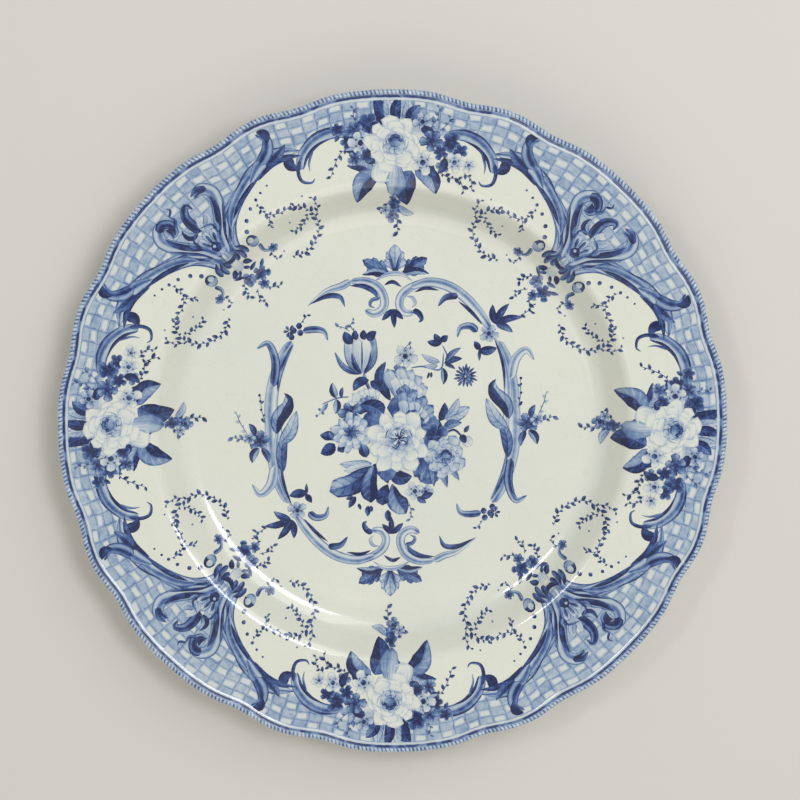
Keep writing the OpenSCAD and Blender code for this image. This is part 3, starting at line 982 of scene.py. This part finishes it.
def draw_reserve(p):
    """What fills the white field under one arm: pearls, a ball with a tail, and garlands."""
    for at, r in (
        ((12.6, 95.6), 0.95), ((15.6, 98.7), 0.9), ((20, 101), 0.75),
        ((24, 102), 0.7), ((27.2, 102.7), 0.55), ((31, 103), 0.45),
    ):
        p.dot(at, r, DEEP)
    p.mark([(12.4, 89), (11.8, 86), (14.2, 83.2)], 1.7, MIDDLE, STRIPED, HORN, steps=10)
    p.dot((11.4, 91.6), 2.5, HALVED)
    p.dot((11, 92.2), 1.3, FAINT)
    p.blossom((15, 84.2), 2.0, MIDDLE)
    p.sprig([(13.5, 84), (12.5, 81), (14, 79)], 4, 1.7)
    p.sprig([(23.5, 101), (22.6, 97.5), (24, 94), (28, 91.5), (33, 91)], 12, 2.2)
    p.sprig([(24, 94), (21.6, 92.2), (20.4, 90)], 4, 1.8)
    p.sprig([(17.5, 76.6), (22, 74), (28, 74), (33.6, 77), (36.2, 82), (35, 87.5), (32, 91)], 26, 2.4)
    p.sprig([(35, 84), (30, 82.4), (25, 83)], 9, 2.0)
    p.sprig([(36, 81), (39.5, 83.6), (40.5, 88)], 6, 1.9)
    for at in ((21, 90.5), (27, 86.5), (38, 90.5), (17, 80)):
        p.dot(at, 0.4, MIDDLE)


def draw_hook(p):
    """The hooked scroll that closes an arm beside a border bouquet."""
    p.mark(
        [(19, 115.5), (26, 115.6), (32, 112.6), (36.6, 107), (38, 101)],
        5.0, SCROLL, STRIPED, RIBBON, steps=26,
    )
    p.mark(
        [(38.2, 105), (38.6, 100), (37, 96.6), (33.4, 96.2), (32, 98)],
        1.5, DEEP, PLAIN, HORN, steps=18,
    )
    p.line([(26, 113.4), (31, 111), (35, 106.6), (36.8, 101)], 1.3, NAVY, steps=18)
    p.line([(22, 117.4), (28, 117), (34, 113.8), (38.4, 108)], 1.0, DEEP, steps=18)
    p.mark([(33, 109), (34.4, 104), (34, 100.5)], 1.0, MIDDLE, PLAIN, HORN, steps=12)
    p.mark([(42.5, 107), (42, 103), (38.6, 101)], 4.4, NAVY, steps=10)


def draw_border_bouquet(p):
    """The rose, flowers and leaves in the middle of each side of the border."""
    for side in (-1, 1):
        p.flip = side
        draw_hook(p)
    p.flip = 1
    p.level()
    # Leaves that stand behind the rose, up to the rope
    p.leaf((-6, 118), (-9.5, 129.5), 6.0, NAVY, bow=-0.12)
    p.leaf((-3.5, 119), (-5, 130), 4.6, PALE, bow=-0.05)
    p.leaf((-0.5, 120), (0.6, 130.4), 4.4, NAVY, bow=0.1)
    p.leaf((2.5, 120), (4, 129.4), 4.4, PALE, bow=-0.06)
    p.leaf((4.5, 119), (8.6, 127), 5.0, DEEP, bow=0.12)
    p.leaf((-8, 117), (-14.5, 122.5), 5.4, DEEP, bow=0.15)
    p.sprig([(-14, 117), (-17, 121), (-17.5, 126)], 6, 2.6, MIDDLE)
    p.sprig([(-16, 113), (-20, 115), (-25, 114.5)], 7, 2.8, DEEP, stem=0.6)
    p.sprig([(-18, 110), (-22, 108), (-24.5, 103), (-26, 98)], 9, 2.2, DEEP)
    p.sprig([(12, 118), (15.5, 122), (16, 127)], 6, 2.6, MIDDLE)
    p.sprig([(16, 117), (19.5, 120), (20.5, 123)], 4, 2.4, MIDDLE)
    # Leaves under the rose
    p.bowed((-8.6, 100), (-19.6, 103), 5.6, HALVED, LIGHT_VEINED, bow=-0.16)
    p.leaf((-7, 101), (-15.6, 88.6), 8.0, SPLIT_LEAF, bow=-0.16, ruffle=0.06)
    p.leaf((-6, 101), (-0.6, 92.5), 4.6, NAVY, bow=0.1)
    p.leaf((-9, 101), (-2, 105), 2.6, PALE, bow=-0.2)
    p.leaf((5.6, 101.6), (4.2, 88), 8.8, NAVY_TIP, bow=-0.14)
    p.leaf((7, 102), (15.4, 92.6), 7.4, SPLIT_LEAF_PALER, bow=0.2, ruffle=0.06)
    p.leaf((12.5, 106), (15.6, 99.5), 3.4, NAVY, bow=-0.15)
    p.leaf((-9, 104), (-12, 109), 5.2, NAVY)
    p.level()
    # Flowers on the left
    p.blossom((-11.6, 119.4), 4.6, DEEP)
    p.blossom((-17, 117), 3.6, MIDDLE)
    p.blossom((-19.4, 112.4), 3.4, DEEP)
    p.bowed((-13, 113), (-20.6, 108.6), 3.8, HALVED, LIGHT_VEINED, bow=0.15)
    p.blossom((-14.4, 112), 4.9, FAINT)
    p.blossom((-11.4, 107.4), 3.2, DEEP)
    p.blossom((-16.6, 106), 3.0, MIDDLE)
    p.blossom((-23.4, 117), 2.8, DEEP)
    # Flowers on the right
    p.blossom((9.6, 120.6), 3.8, PALE)
    p.leaf((9, 118), (14.6, 116.4), 3.4, NAVY)
    p.blossom((13.4, 113.2), 4.6, MIDDLE)
    p.blossom((17, 109), 3.2, DEEP)
    p.blossom((10, 104.8), 4.9, WHITE, DEEP)
    # The cluster at the hook's root on the right, and blossoms under it
    p.blossom((21, 113), 4.0, NAVY)
    p.blossom((24.6, 109.6), 3.0, DEEP)
    p.blossom((18, 103.6), 2.8, MIDDLE)
    p.blossom((22.4, 105), 4.0, WHITE, DEEP)
    p.blossom((28, 104), 3.0, WHITE, DEEP)
    p.leaf((18.6, 107), (16, 100.6), 3.2, NAVY, bow=0.15)
    p.sprig([(17, 101), (20.5, 99), (24.5, 98.4), (26.5, 93)], 9, 2.4, NAVY)
    p.sprig([(26, 101), (29, 98.5), (29.5, 94)], 6, 2.0, DEEP)
    # The pendant under the rose
    p.level()
    p.sprig([(-1, 92), (-4, 87.5), (-6.4, 85)], 6, 2.4, DEEP)
    p.sprig([(0, 90), (0.4, 82), (0.8, 76.4)], 7, 2.4, DEEP)
    p.leaf((1, 87.5), (7, 84.4), 2.8, PALE, bow=-0.15)
    p.blossom((-1.6, 83.8), 3.0, MIDDLE)
    p.blossom((-4.4, 85.8), 2.0, PALE)
    p.blossom((-0.8, 88.6), 2.8, DEEP)
    p.level()
    # The rose itself
    p.bowed((-4, 108), (-5.4, 96.6), 8.4, WHITE, LIGHTLY_FANNED, PETAL, bow=-0.1, ruffle=0.1)
    p.bowed((-1, 106), (-1.6, 91.6), 7.4, ROSE_LIP, LIGHTLY_FANNED, PETAL, bow=0.08, ruffle=0.1)
    p.rose((-1.6, 112), 11.2)


# ---------------------------------------------------------------- the well print


def draw_half_frame(p):
    """Half of the ribbon frame round the centre: the top, the right side and both corners."""
    # The palmette over the keyhole
    p.acanthus((1.6, 59.6), (-10, 66.2), 7.0, DEEP, LIGHT_VEINED)
    p.leaf((0.5, 60), (-10.4, 60.2), 3.0, HALVED, bow=-0.1)
    p.acanthus((5, 59.6), (16, 66.2), 7.2, DEEP, LIGHT_VEINED)
    p.leaf((6, 60), (16.6, 59.8), 3.2, HALVED, bow=0.12)
    p.acanthus((3, 59.6), (3.2, 72), 8.6, PALE)
    for x in (1.2, 5):
        p.bowed((3, 60), (x, 67.5), 1.2, DEEP)
    p.mark(
        [(-5.6, 57.4), (-1, 59.8), (2.6, 60.4), (6, 59.8), (9.6, 57.2)],
        2.0, PALE, STRIPED, LENS, steps=16,
    )
    p.line([(-1.6, 55.8), (1.8, 57), (5.4, 54.8)], 1.6, NAVY, steps=10)
    # The keyhole's two volutes
    p.mark(
        [(-15.4, 57.6), (-9, 57.6), (-4, 55), (-1.8, 50.5), (-2.4, 46.4), (-6, 44.4), (-9.6, 46)],
        3.6, WORN, STRIPED, RIBBON, steps=32,
    )
    p.mark([(-15.4, 56), (-10, 55.6), (-6, 53.4), (-4, 50)], 2.2, NAVY, LIGHT_VEINED, LENS, steps=16)
    p.mark([(-3.4, 50.6), (-6.6, 50), (-7.6, 47.8), (-5.6, 46.6)], 1.6, MIDDLE, PLAIN, HORN, steps=12)
    p.mark(
        [(20, 57), (12, 55.8), (6, 52.4), (4.2, 48), (6, 44.6), (10, 44.2)],
        3.4, WORN, STRIPED, RIBBON, steps=30,
    )
    p.mark([(9.6, 45.4), (12, 44), (13, 41.6), (11.8, 40.4)], 2.4, DEEP, PLAIN, HORN, steps=12)
    p.line([(7, 51), (9.6, 50.4), (10.6, 48), (9.2, 46.4)], 1.4, PALE, steps=12)
    for tip in ((-3, 41.6), (2, 38.4), (5.6, 41.8)):
        p.leaf((1.6, 46), tip, 2.4, NAVY)
    # The left arm, which ends in a rolled leaf
    p.mark([(-15, 57.8), (-19, 55.8), (-25, 54), (-32.6, 48.4)], 3.0, PALE, STRIPED, HORN, steps=18)
    p.line([(-31.6, 49), (-25, 52), (-19.6, 51.6), (-17.6, 47.4)], 2.2, DEEP, steps=16)
    # The right arm, down to the corner
    p.mark(
        [(9, 54.6), (16, 56.4), (24, 54.6), (31, 49.6), (36.6, 43), (40.5, 37)],
        4.2, WORN, STRIPED, RIBBON, steps=36,
    )
    p.line([(10.5, 52.6), (15, 54), (20.5, 53)], 1.4, NAVY, steps=12)
    p.line([(28, 48.4), (33, 44), (37.4, 38.6)], 1.5, NAVY, steps=14)
    p.mark([(28, 50.6), (23, 50), (19.8, 46.6)], 2.8, DEEP, PLAIN, HORN, steps=14)
    # The top corner: a flower and a fan of leaves
    for tip in ((41.8, 46.6), (48.4, 46.8), (53.6, 41.2), (49.6, 35.2)):
        p.bowed((42.8, 38.6), tip, 3.0, NAVY if tip[1] > 40 else DEEP, LIGHT_VEINED, bow=0.08)
    p.blossom((40, 35), 3.9, PALE)
    p.sprig([(52, 41.5), (56, 43.6), (58.6, 46.6)], 5, 2.0)
    p.mark(
        [(35.4, 35.8), (32.6, 38.2), (28.6, 37.6), (27.2, 33.8)],
        3.0, MIDDLE, STRIPED, HORN, steps=14,
    )
    p.leaf((35.8, 28), (43, 29), 3.8, NAVY, bow=-0.06)
    p.bowed((36.2, 28.4), (34, 32), 2.6, NAVY)
    p.bowed((36, 28.6), (35.8, 24), 1.4, DEEP)
    # The right side: two ribbons laid together
    p.mark(
        [(43.6, 32), (46.8, 24), (48.8, 14), (49.2, 2), (48.8, -10), (47, -19), (43.4, -28),
         (39.6, -34.4)],
        5.4, BAND, STRIPED, RIBBON, steps=44,
    )
    p.mark(
        [(42.6, 33), (45.2, 26), (46.8, 17), (47, 8), (46, 0), (46.4, -10)],
        3.2, PALE, STRIPED, LENS, steps=30,
    )
    p.line([(42, 33), (44.2, 27), (45.6, 20), (46, 12)], 1.2, NAVY, steps=14)
    p.mark([(48.4, 16), (50.4, 24), (54.8, 27.8), (58, 23.6)], 4.0, BAND, STRIPED, HORN, steps=16)
    p.mark([(46, -14), (44.6, -23), (39.4, -33)], 2.4, MIDDLE, STRIPED, LENS, steps=16)
    p.line([(44.6, -22), (42, -28), (39, -33)], 1.0, DEEP, steps=14)
    p.mark([(47.6, -16), (46.4, -26), (49, -33.6), (53.8, -31.8)], 3.6, MIDDLE, STRIPED, HORN, steps=18)
    p.line([(46.8, -22), (47.2, -29), (50, -33)], 1.0, DEEP, steps=12)
    # The low corner
    for at in ((36, -37.6), (38.6, -38.6), (36.4, -40.4), (39.6, -36)):
        p.dot(at, 1.3, DEEP)
    p.flower((40.4, -38.4), 2.6, 6, DEEP, FANNED, slim=1.1)
    p.mark([(35, -38.4), (30, -38.8), (26.4, -37.8), (25, -34.2)], 2.8, MIDDLE, STRIPED, HORN, steps=16)
    p.sprig([(36, -41), (34, -43.4), (32.6, -45)], 3, 1.8)


def draw_side_posy(p):
    """The leaf pair inside the frame's side and the flower outside it."""
    p.mark([(46.6, -16), (46, -7), (43, 1)], 4.6, MIDDLE, VEINED, steps=14)
    p.mark([(46.4, -4), (41.6, 0.6), (38.2, 8.6)], 5.6, PALE, VEINED, steps=14)
    p.mark([(47.4, 0), (46, 6), (41.6, 11), (41.2, 16)], 6.2, HALVED, VEINED, steps=16)
    p.line([(46.8, 2), (43.4, 8), (40.2, 13), (42.4, 16.4)], 2.6, NAVY, steps=14)
    p.sprig([(51, 4), (52.2, 10), (52.2, 17)], 5, 1.6)
    for y in (6.5, 10.5, 14, 16.5):
        p.dot((52.4, y), 0.55, NAVY)
    p.blossom((54.6, -2), 4.3, MIDDLE)
    p.blossom((58.4, -0.6), 2.6, PALE)
    p.leaf((56, 0), (58, 5.4), 2.6, DEEP, bow=0.1)
    p.sprig([(57, -1), (61, -1), (65.6, 0.6)], 7, 2.4, MIDDLE)
    p.sprig([(59, 1), (61.4, 6), (62.8, 11)], 5, 2.0, PALE)
    p.leaf((54, -5), (51.6, -11.4), 2.8, DEEP, bow=-0.1)
    p.leaf((55, -5), (58.4, -10.8), 3.4, HALVED, bow=0.15)


def draw_tulip(p):
    """The tulip at the top left of the bouquet."""
    p.mark([(-8.6, 13), (-10.2, 17), (-11, 20.4)], 1.4, MIDDLE, PLAIN, RIBBON, steps=8)
    p.mark([(-12, 20.2), (-16.6, 21.6), (-20, 24.4), (-22.4, 29.4)], 2.4, MIDDLE, VEINED, steps=12)
    p.mark([(-10.8, 20), (-7.4, 26), (-6.6, 36)], 3.8, MIDDLE, FANNED, CUP, steps=12)
    p.mark([(-12, 20), (-15.8, 26), (-17.2, 36)], 4.6, PALE, FANNED, CUP, steps=12)
    p.mark([(-12, 20), (-13, 27.6), (-13, 35.4)], 4.6, FAINT, FANNED, CUP, steps=12)
    p.mark([(-11.2, 20), (-9.6, 27.6), (-9.8, 35.6)], 4.4, WHITE, FANNED, CUP, steps=12)
    p.mark([(-12, 20.4), (-14.4, 23.8), (-15.6, 29)], 2.2, DEEP, VEINED, steps=10)
    p.mark([(-11, 20.6), (-8.6, 24.4), (-7.6, 30)], 1.3, DEEP, VEINED, steps=10)
    p.line([(-11.8, 21), (-11.4, 28), (-11.4, 33.6)], 0.7, DEEP, steps=10)
    for root, tip, width in (
        ((-15, 32.6), (-18.2, 37.6), 4.0), ((-13.4, 34), (-13.8, 38), 2.8),
        ((-10, 34), (-10.4, 38), 3.0), ((-8.8, 33.4), (-5.4, 37.2), 3.6),
    ):
        p.leaf(root, tip, width, NAVY, bow=0.1)
    p.sprig([(-14, 37), (-15.6, 40), (-14, 42.4)], 4, 2.0, MIDDLE)
    p.sprig([(-16, 37.6), (-19, 39.4), (-21, 39.6)], 3, 2.0, MIDDLE)


def draw_leaf_fan(p):
    """The fan of leaves at the bottom left of the bouquet."""
    p.leaf((-9, -16.5), (-22, -16.4), 4.2, PALE, bow=0.06)
    p.leaf((-9, -17), (-20.4, -19.4), 3.8, FAINT)
    p.bowed((-8.6, -17.6), (-26.6, -27.6), 9.4, BROAD_LEAF, VEINED, PETAL, bow=0.1, ruffle=0.12)
    p.bowed((-8, -17), (-9.8, -32.8), 7.0, HANGING_LEAF, LIGHT_VEINED, PETAL, bow=-0.08, ruffle=0.1)
    p.leaf((-8.4, -17), (-2.6, -25), 5.0, NAVY, bow=0.14)
    p.bowed((-2.8, -25.4), (-5.2, -34), 5.8, NAVY, LIGHT_VEINED, PETAL, bow=-0.08)
    p.bowed((-1, -25.4), (4.4, -37.8), 7.6, LOW_LEAF, LIGHT_VEINED, PETAL, bow=-0.1, ruffle=0.12)
    p.leaf((-1.6, -21), (7.2, -22.4), 6.0, NAVY, bow=-0.14)
    p.leaf((-11, -14), (-13, -8), 4.4, DEEP)


def draw_right_leaves(p):
    """Leaves, a bud and blossoms on the right of the bouquet."""
    p.bowed((18.6, -2), (13.8, 1.6), 3.6, NAVY)
    p.leaf((15.6, 1), (18.8, -6), 4.4, NAVY, bow=0.1)
    p.leaf((19, 0), (21.4, 7.4), 3.6, NAVY, bow=-0.1)
    p.leaf((21, 1), (31.4, 5.4), 5.6, PALE, bow=-0.06)
    p.leaf((22, 1.4), (27, 9), 3.6, PALE, bow=-0.1)
    p.leaf((20.6, -3), (28, -1), 3.6, MIDDLE, bow=0.1)
    p.mark([(20, -6), (24.6, -3.8), (28, -6.6)], 0.9, NAVY, PLAIN, RIBBON, steps=10)
    p.mark([(28.6, -7), (31.8, -10.6)], 4.4, WHITE, VEINED, ROUND)
    p.bowed((27.6, -5.8), (29.4, -9.4), 3.0, NAVY)
    p.bowed((29, -5), (31, -2.2), 1.8, DEEP)


def draw_top_leaves(p):
    """Blossom, leaves and a star flower at the top right of the bouquet."""
    p.stem([(8, 22), (13, 22.4), (20, 21), (21.6, 28)], 0.7)
    p.stem([(22, 22), (23, 26), (21, 31)], 0.6)
    for root, tip, width, wash in (
        ((21, 32), (15, 32.4), 3.0, NAVY), ((20.6, 32), (18, 35.6), 2.8, NAVY),
        ((21, 32), (23.4, 34.6), 2.8, NAVY), ((21.6, 23.4), (29, 25.2), 2.8, NAVY),
        ((22, 24), (28.6, 29.6), 2.4, MIDDLE), ((20, 24), (12.6, 27.4), 2.6, PALE),
        ((19, 22.6), (13.6, 22.8), 2.2, PALE), ((21, 21.6), (21, 14.8), 2.8, HALVED),
        ((22, 23), (26, 21), 1.6, DEEP), ((15.4, 20), (14.4, 17.4), 1.0, NAVY),
        ((16.2, 20), (16, 17.6), 1.0, NAVY),
    ):
        p.bowed(root, tip, width, wash, LIGHT_VEINED if wash == NAVY else VEINED, bow=0.08)
    p.blossom((6, 26.8), 4.9, FAINT)
    p.sprig([(5, 29), (7.4, 31.4), (8.6, 30)], 3, 1.6, MIDDLE)
    p.flower((30.2, 18), 4.7, 17, DEEP, PLAIN, slim=1.3, ruffle=0.2)
    p.flower((30, 17.8), 2.6, 9, MIDDLE, PLAIN, slim=1.1)


def draw_left_sprig(p):
    """The loose sprig and dark leaves on the left of the bouquet."""
    p.stem([(-17, 11), (-22, 10.6), (-28.6, 8.2)], 0.6)
    for root, tip, width, wash in (
        ((-22.4, 10.6), (-23.8, 17), 3.2, HALVED), ((-20.4, 10.8), (-19.6, 15), 1.8, DEEP),
        ((-22.4, 10.2), (-23, 4.2), 3.2, HALVED), ((-27, 8.6), (-30, 3.8), 1.3, PALE),
        ((-26, 8.8), (-28.8, 5), 1.2, MIDDLE), ((-23.6, -4), (-29.6, -4.4), 4.0, NAVY),
        ((-23.8, -8), (-29.6, -12), 5.0, NAVY), ((-22.4, -9), (-20.4, -11.8), 3.4, NAVY),
        ((-24, -6.6), (-26, -3), 2.4, DEEP),
    ):
        p.bowed(root, tip, width, wash, LIGHT_VEINED, bow=0.08)
    for at in ((-28, 4.6), (-30.6, 3.6), (-29.4, 6.2)):
        p.dot(at, 0.6, MIDDLE)


def draw_low_sprigs(p):
    """Small leaves and blossoms under the bouquet."""
    for root, tip, width in (
        ((-16, -30), (-19, -34.6), 2.6), ((-17, -30), (-20, -31), 1.8),
        ((-11, -34), (-11.4, -38.4), 2.4), ((-10, -34), (-9.6, -36.6), 1.6),
        ((-15, -33), (-14, -35.6), 1.4), ((-3, -36), (-3.2, -40.8), 2.6),
    ):
        p.bowed(root, tip, width, DEEP, VEINED)
    p.blossom((12.6, -29), 3.2, PALE)
    p.blossom((8.2, -28.6), 4.0, FAINT)
    p.leaf((10.6, -31.4), (15.6, -29.6), 2.8, NAVY)
    p.leaf((9, -31), (12.6, -33.6), 2.6, DEEP)
    p.sprig([(5.6, -33), (6.4, -37), (5.8, -40.6)], 5, 1.8, MIDDLE)


def draw_centre_bouquet(p):
    """The bouquet in the middle of the well, from its back leaves to its peony."""
    draw_left_sprig(p)
    draw_top_leaves(p)
    draw_low_sprigs(p)
    p.level()
    draw_leaf_fan(p)
    draw_tulip(p)
    draw_right_leaves(p)
    p.mark([(-0.6, 9), (-3.6, 15), (-4.6, 20), (-2, 24.8)], 4.6, NAVY, LIGHT_VEINED, steps=14)
    p.leaf((-9, 17.6), (-15.4, 13.4), 4.0, NAVY, bow=-0.2)
    p.leaf((-8.4, 17), (-4.6, 13), 3.8, NAVY, bow=0.1)
    # Shade between the flowers
    for at, r in (
        ((13, -10), 6), ((14, -20), 6), ((-8, 0), 5), ((3, 6), 5), ((-3, -20), 4), ((15, -1), 4),
    ):
        p.dot(at, r, SHADE)
    # The two carnations behind, and the ruffled flower on the left
    p.blossom((3.2, 20), 3.8, MIDDLE)
    p.fan((3, 9), 12.6, 22, 108, 9, 5.4, PALE)
    p.fan((4, 9), 9.4, 15, 112, 7, 4.6, FAINT)
    p.fan((5, 9), 6.0, 10, 110, 5, 3.6, MIDDLE)
    p.level()
    p.fan((6, 0), 12.0, 20, 100, 8, 5.0, MIDDLE)
    p.fan((6.6, 0.4), 8.6, 10, 105, 6, 4.4, PALE)
    p.fan((7.4, 0), 5.2, 5, 95, 4, 3.0, DEEP)
    p.fan((-9, 5), 9.6, 70, 165, 7, 4.6, FAINT)
    p.fan((-9, 5), 6.4, 75, 170, 5, 3.6, MIDDLE)
    p.blossom((-17, 4.6), 4.8, MIDDLE)
    p.bowed((-13, 7.6), (-3.4, 3.4), 7.4, DEEP, LIGHT_VEINED, PETAL, bow=0.1)
    # The frilled flower on the left
    p.dot((-17, -3.6), 6.4, PALE)
    p.flower((-17, -3.6), 8.2, 11, PALE, FANNED, slim=1.9, ruffle=0.3)
    p.flower((-17, -3.6), 5.8, 9, FAINT, FANNED, start=0.3, slim=1.8, ruffle=0.3)
    p.flower((-17, -3.6), 3.4, 7, MIDDLE, FANNED, slim=1.5, ruffle=0.2)
    p.dot((-17, -3.6), 1.2, NAVY)
    # The blue mass and the rose on the right
    p.blossom((16.6, -6), 5.8, DEEP)
    p.fan((14, -14), 9.6, 200, 290, 6, 5.6, DEEP)
    for root, tip, width in (
        ((12, -12), (10.6, -25), 3.8), ((12, -12), (16, -26.8), 4.2),
        ((13, -13), (21.4, -27.4), 4.0), ((15, -14), (26.4, -24.6), 3.6),
    ):
        p.bowed(root, tip, width, BLUE_PETAL, LIGHT_VEINED, bow=0.12, ruffle=0.1)
    p.level()
    p.rose((20.6, -14.6), 8.8, outer=PALE, inner=MIDDLE, heart=NAVY)
    # The peony
    peony = (2, -8)
    p.dot(peony, 10.5, WHITE)
    p.flower(peony, 13.4, 10, WHITE, LIGHTLY_FANNED, start=0.25, slim=1.85, ruffle=0.2)
    p.flower((2.2, -7.8), 9.8, 8, WHITE, LIGHTLY_FANNED, start=0.6, slim=1.8, ruffle=0.2)
    p.flower((2.4, -7.2), 7.4, 8, PEONY_MIDDLE, FANNED, start=0.1, slim=1.7, ruffle=0.3)
    p.flower((2.8, -6.6), 5.2, 7, PEONY_CUP, FANNED, start=0.5, slim=1.6, ruffle=0.3)
    p.flower((2.5, -6.2), 3.4, 6, FAINT, FANNED, start=0.2, slim=1.6, ruffle=0.3)
    for k in range(10):
        p.crescent((2.6, -6.5), 1.1 + 0.5 * k, 2.4 * k, 0.42, 0.5, DEEP if k % 2 else MIDDLE)
    for k in range(11):
        angle = math.tau * (k + 0.3 * math.sin(3 * k)) / 11
        way = Vector((math.cos(angle), math.sin(angle)))
        start = Vector((2.6, -6.6)) + 0.8 * way
        end = Vector((2.6, -6.6)) + (3.4 + 1.6 * math.sin(4 * k)) * way
        p.bowed(tuple(start), tuple(end), 0.6, DEEP, bow=0.14)
    p.dot((2.6, -6.4), 0.8, NAVY)


# ---------------------------------------------------------------- making it all

ink = transfer_print()
white = white_glaze()

make_well(white)
make_border(border_ground())
make_rope(rope_glaze())
make_back(white)
make_recess(white)
make_foot(bare_clay())

for name, turn in (("n", 0), ("w", 90), ("s", 180), ("e", 270)):
    bouquet = Print(turn + print_turn)
    draw_border_bouquet(bouquet)
    bouquet.finish("rim_bouquet_" + name, ink, "deep_cobalt_ink", ["rim_bouquet_print_" + name])

for name, turn in (("nw", 45), ("sw", 135), ("se", 225), ("ne", 315)):
    scroll = Print(turn + print_turn)
    for side in (-1, 1):
        scroll.flip = side
        scroll.lift = first_lift
        draw_reserve(scroll)
        scroll.level()
        draw_scroll_arm(scroll)
        draw_shell_plume(scroll, curl_in=side < 0)
    scroll.flip = 1
    draw_shell(scroll)
    draw_shell_posy(scroll)
    scroll.finish("rim_scroll_" + name, ink, "mid_cobalt_ink", ["rim_scroll_print_" + name])

frame_print = Print(0)
draw_half_frame(frame_print)
draw_side_posy(frame_print)
frame_print.turn = Matrix.Rotation(math.pi, 2)
frame_print.lift = first_lift
draw_half_frame(frame_print)
frame_print.turn = Matrix.Rotation(math.radians(4), 2)
frame_print.flip = -1
draw_side_posy(frame_print)
frame_print.finish("well_frame", ink, "mid_cobalt_ink", ["well_frame_print"])

centre = Print(0)
draw_centre_bouquet(centre)
centre.finish("well_bouquet", ink, "deep_cobalt_ink", ["well_bouquet_print"])


# ---------------------------------------------------------------- floor, light and camera


def make_floor():
    """A matt pale floor that reaches past every view."""
    bm = bmesh.new()
    bmesh.ops.create_grid(bm, x_segments=1, y_segments=1, size=floor_half)
    mesh = bpy.data.meshes.new("floor")
    bm.to_mesh(mesh)
    bm.free()
    made, tree = new_material("pale_floor")
    matt = {"Base Color": linear("d3d0ca"), "Roughness": 0.85}
    add(tree, OUTPUT, [add(tree, SURFACE, matt)])
    mesh.materials.append(made)
    floor = bpy.data.objects.new("floor", mesh)
    bpy.context.scene.collection.objects.link(floor)


def make_light(name, size, power, at, tint):
    """A soft square light at a place in metres, aimed at the plate."""
    data = bpy.data.lights.new(name, "AREA")
    data.shape = "RECTANGLE"
    data.size, data.size_y = size
    data.energy = power
    data.color = linear(tint)[:3]
    light = bpy.data.objects.new(name, data)
    bpy.context.scene.collection.objects.link(light)
    light.location = at
    light.rotation_euler = (-Vector(at)).to_track_quat("-Z", "Y").to_euler()


scene = bpy.context.scene
scene.view_settings.view_transform = "Standard"

floor_half = 8.0
make_floor()
make_light("overhead_window", (0.6, 0.3), 6.2, (0.46, 0.3, 1.3), "f4f7ff")
make_light("window", (1.1, 1.1), 8, (0.75, 0.85, 1.3), "fbfbf8")
make_light("side_window", (0.34, 0.2), 2.6, (-0.66, 0.52, 1.4), "f8faff")
make_light("room", (2.0, 2.0), 12, (-0.3, -1.4, 1.8), "fff6ea")

world = bpy.data.worlds.new("room_air")
world.use_nodes = True
room_air = world.node_tree.nodes["Background"].inputs
room_air["Color"].default_value = linear("e6e6e2")
room_air["Strength"].default_value = 0.47
scene.world = world

# The camera looks down on the plate, a few degrees off its axis
camera_far = 0.7545
camera_tilt = math.radians(7.5)
camera_roll = math.radians(1.8)
aim = Vector((0.0033, 0.0104, 0.018))
camera_data = bpy.data.cameras.new("camera")
camera_data.lens = 85
camera = bpy.data.objects.new("camera", camera_data)
bpy.context.scene.collection.objects.link(camera)
camera_turn = Matrix.Rotation(-camera_tilt, 3, "X") @ Matrix.Rotation(-camera_roll, 3, "Z")
camera.rotation_euler = camera_turn.to_euler()
camera.location = aim + Vector((0, math.sin(camera_tilt), math.cos(camera_tilt))) * camera_far
scene.camera = camera
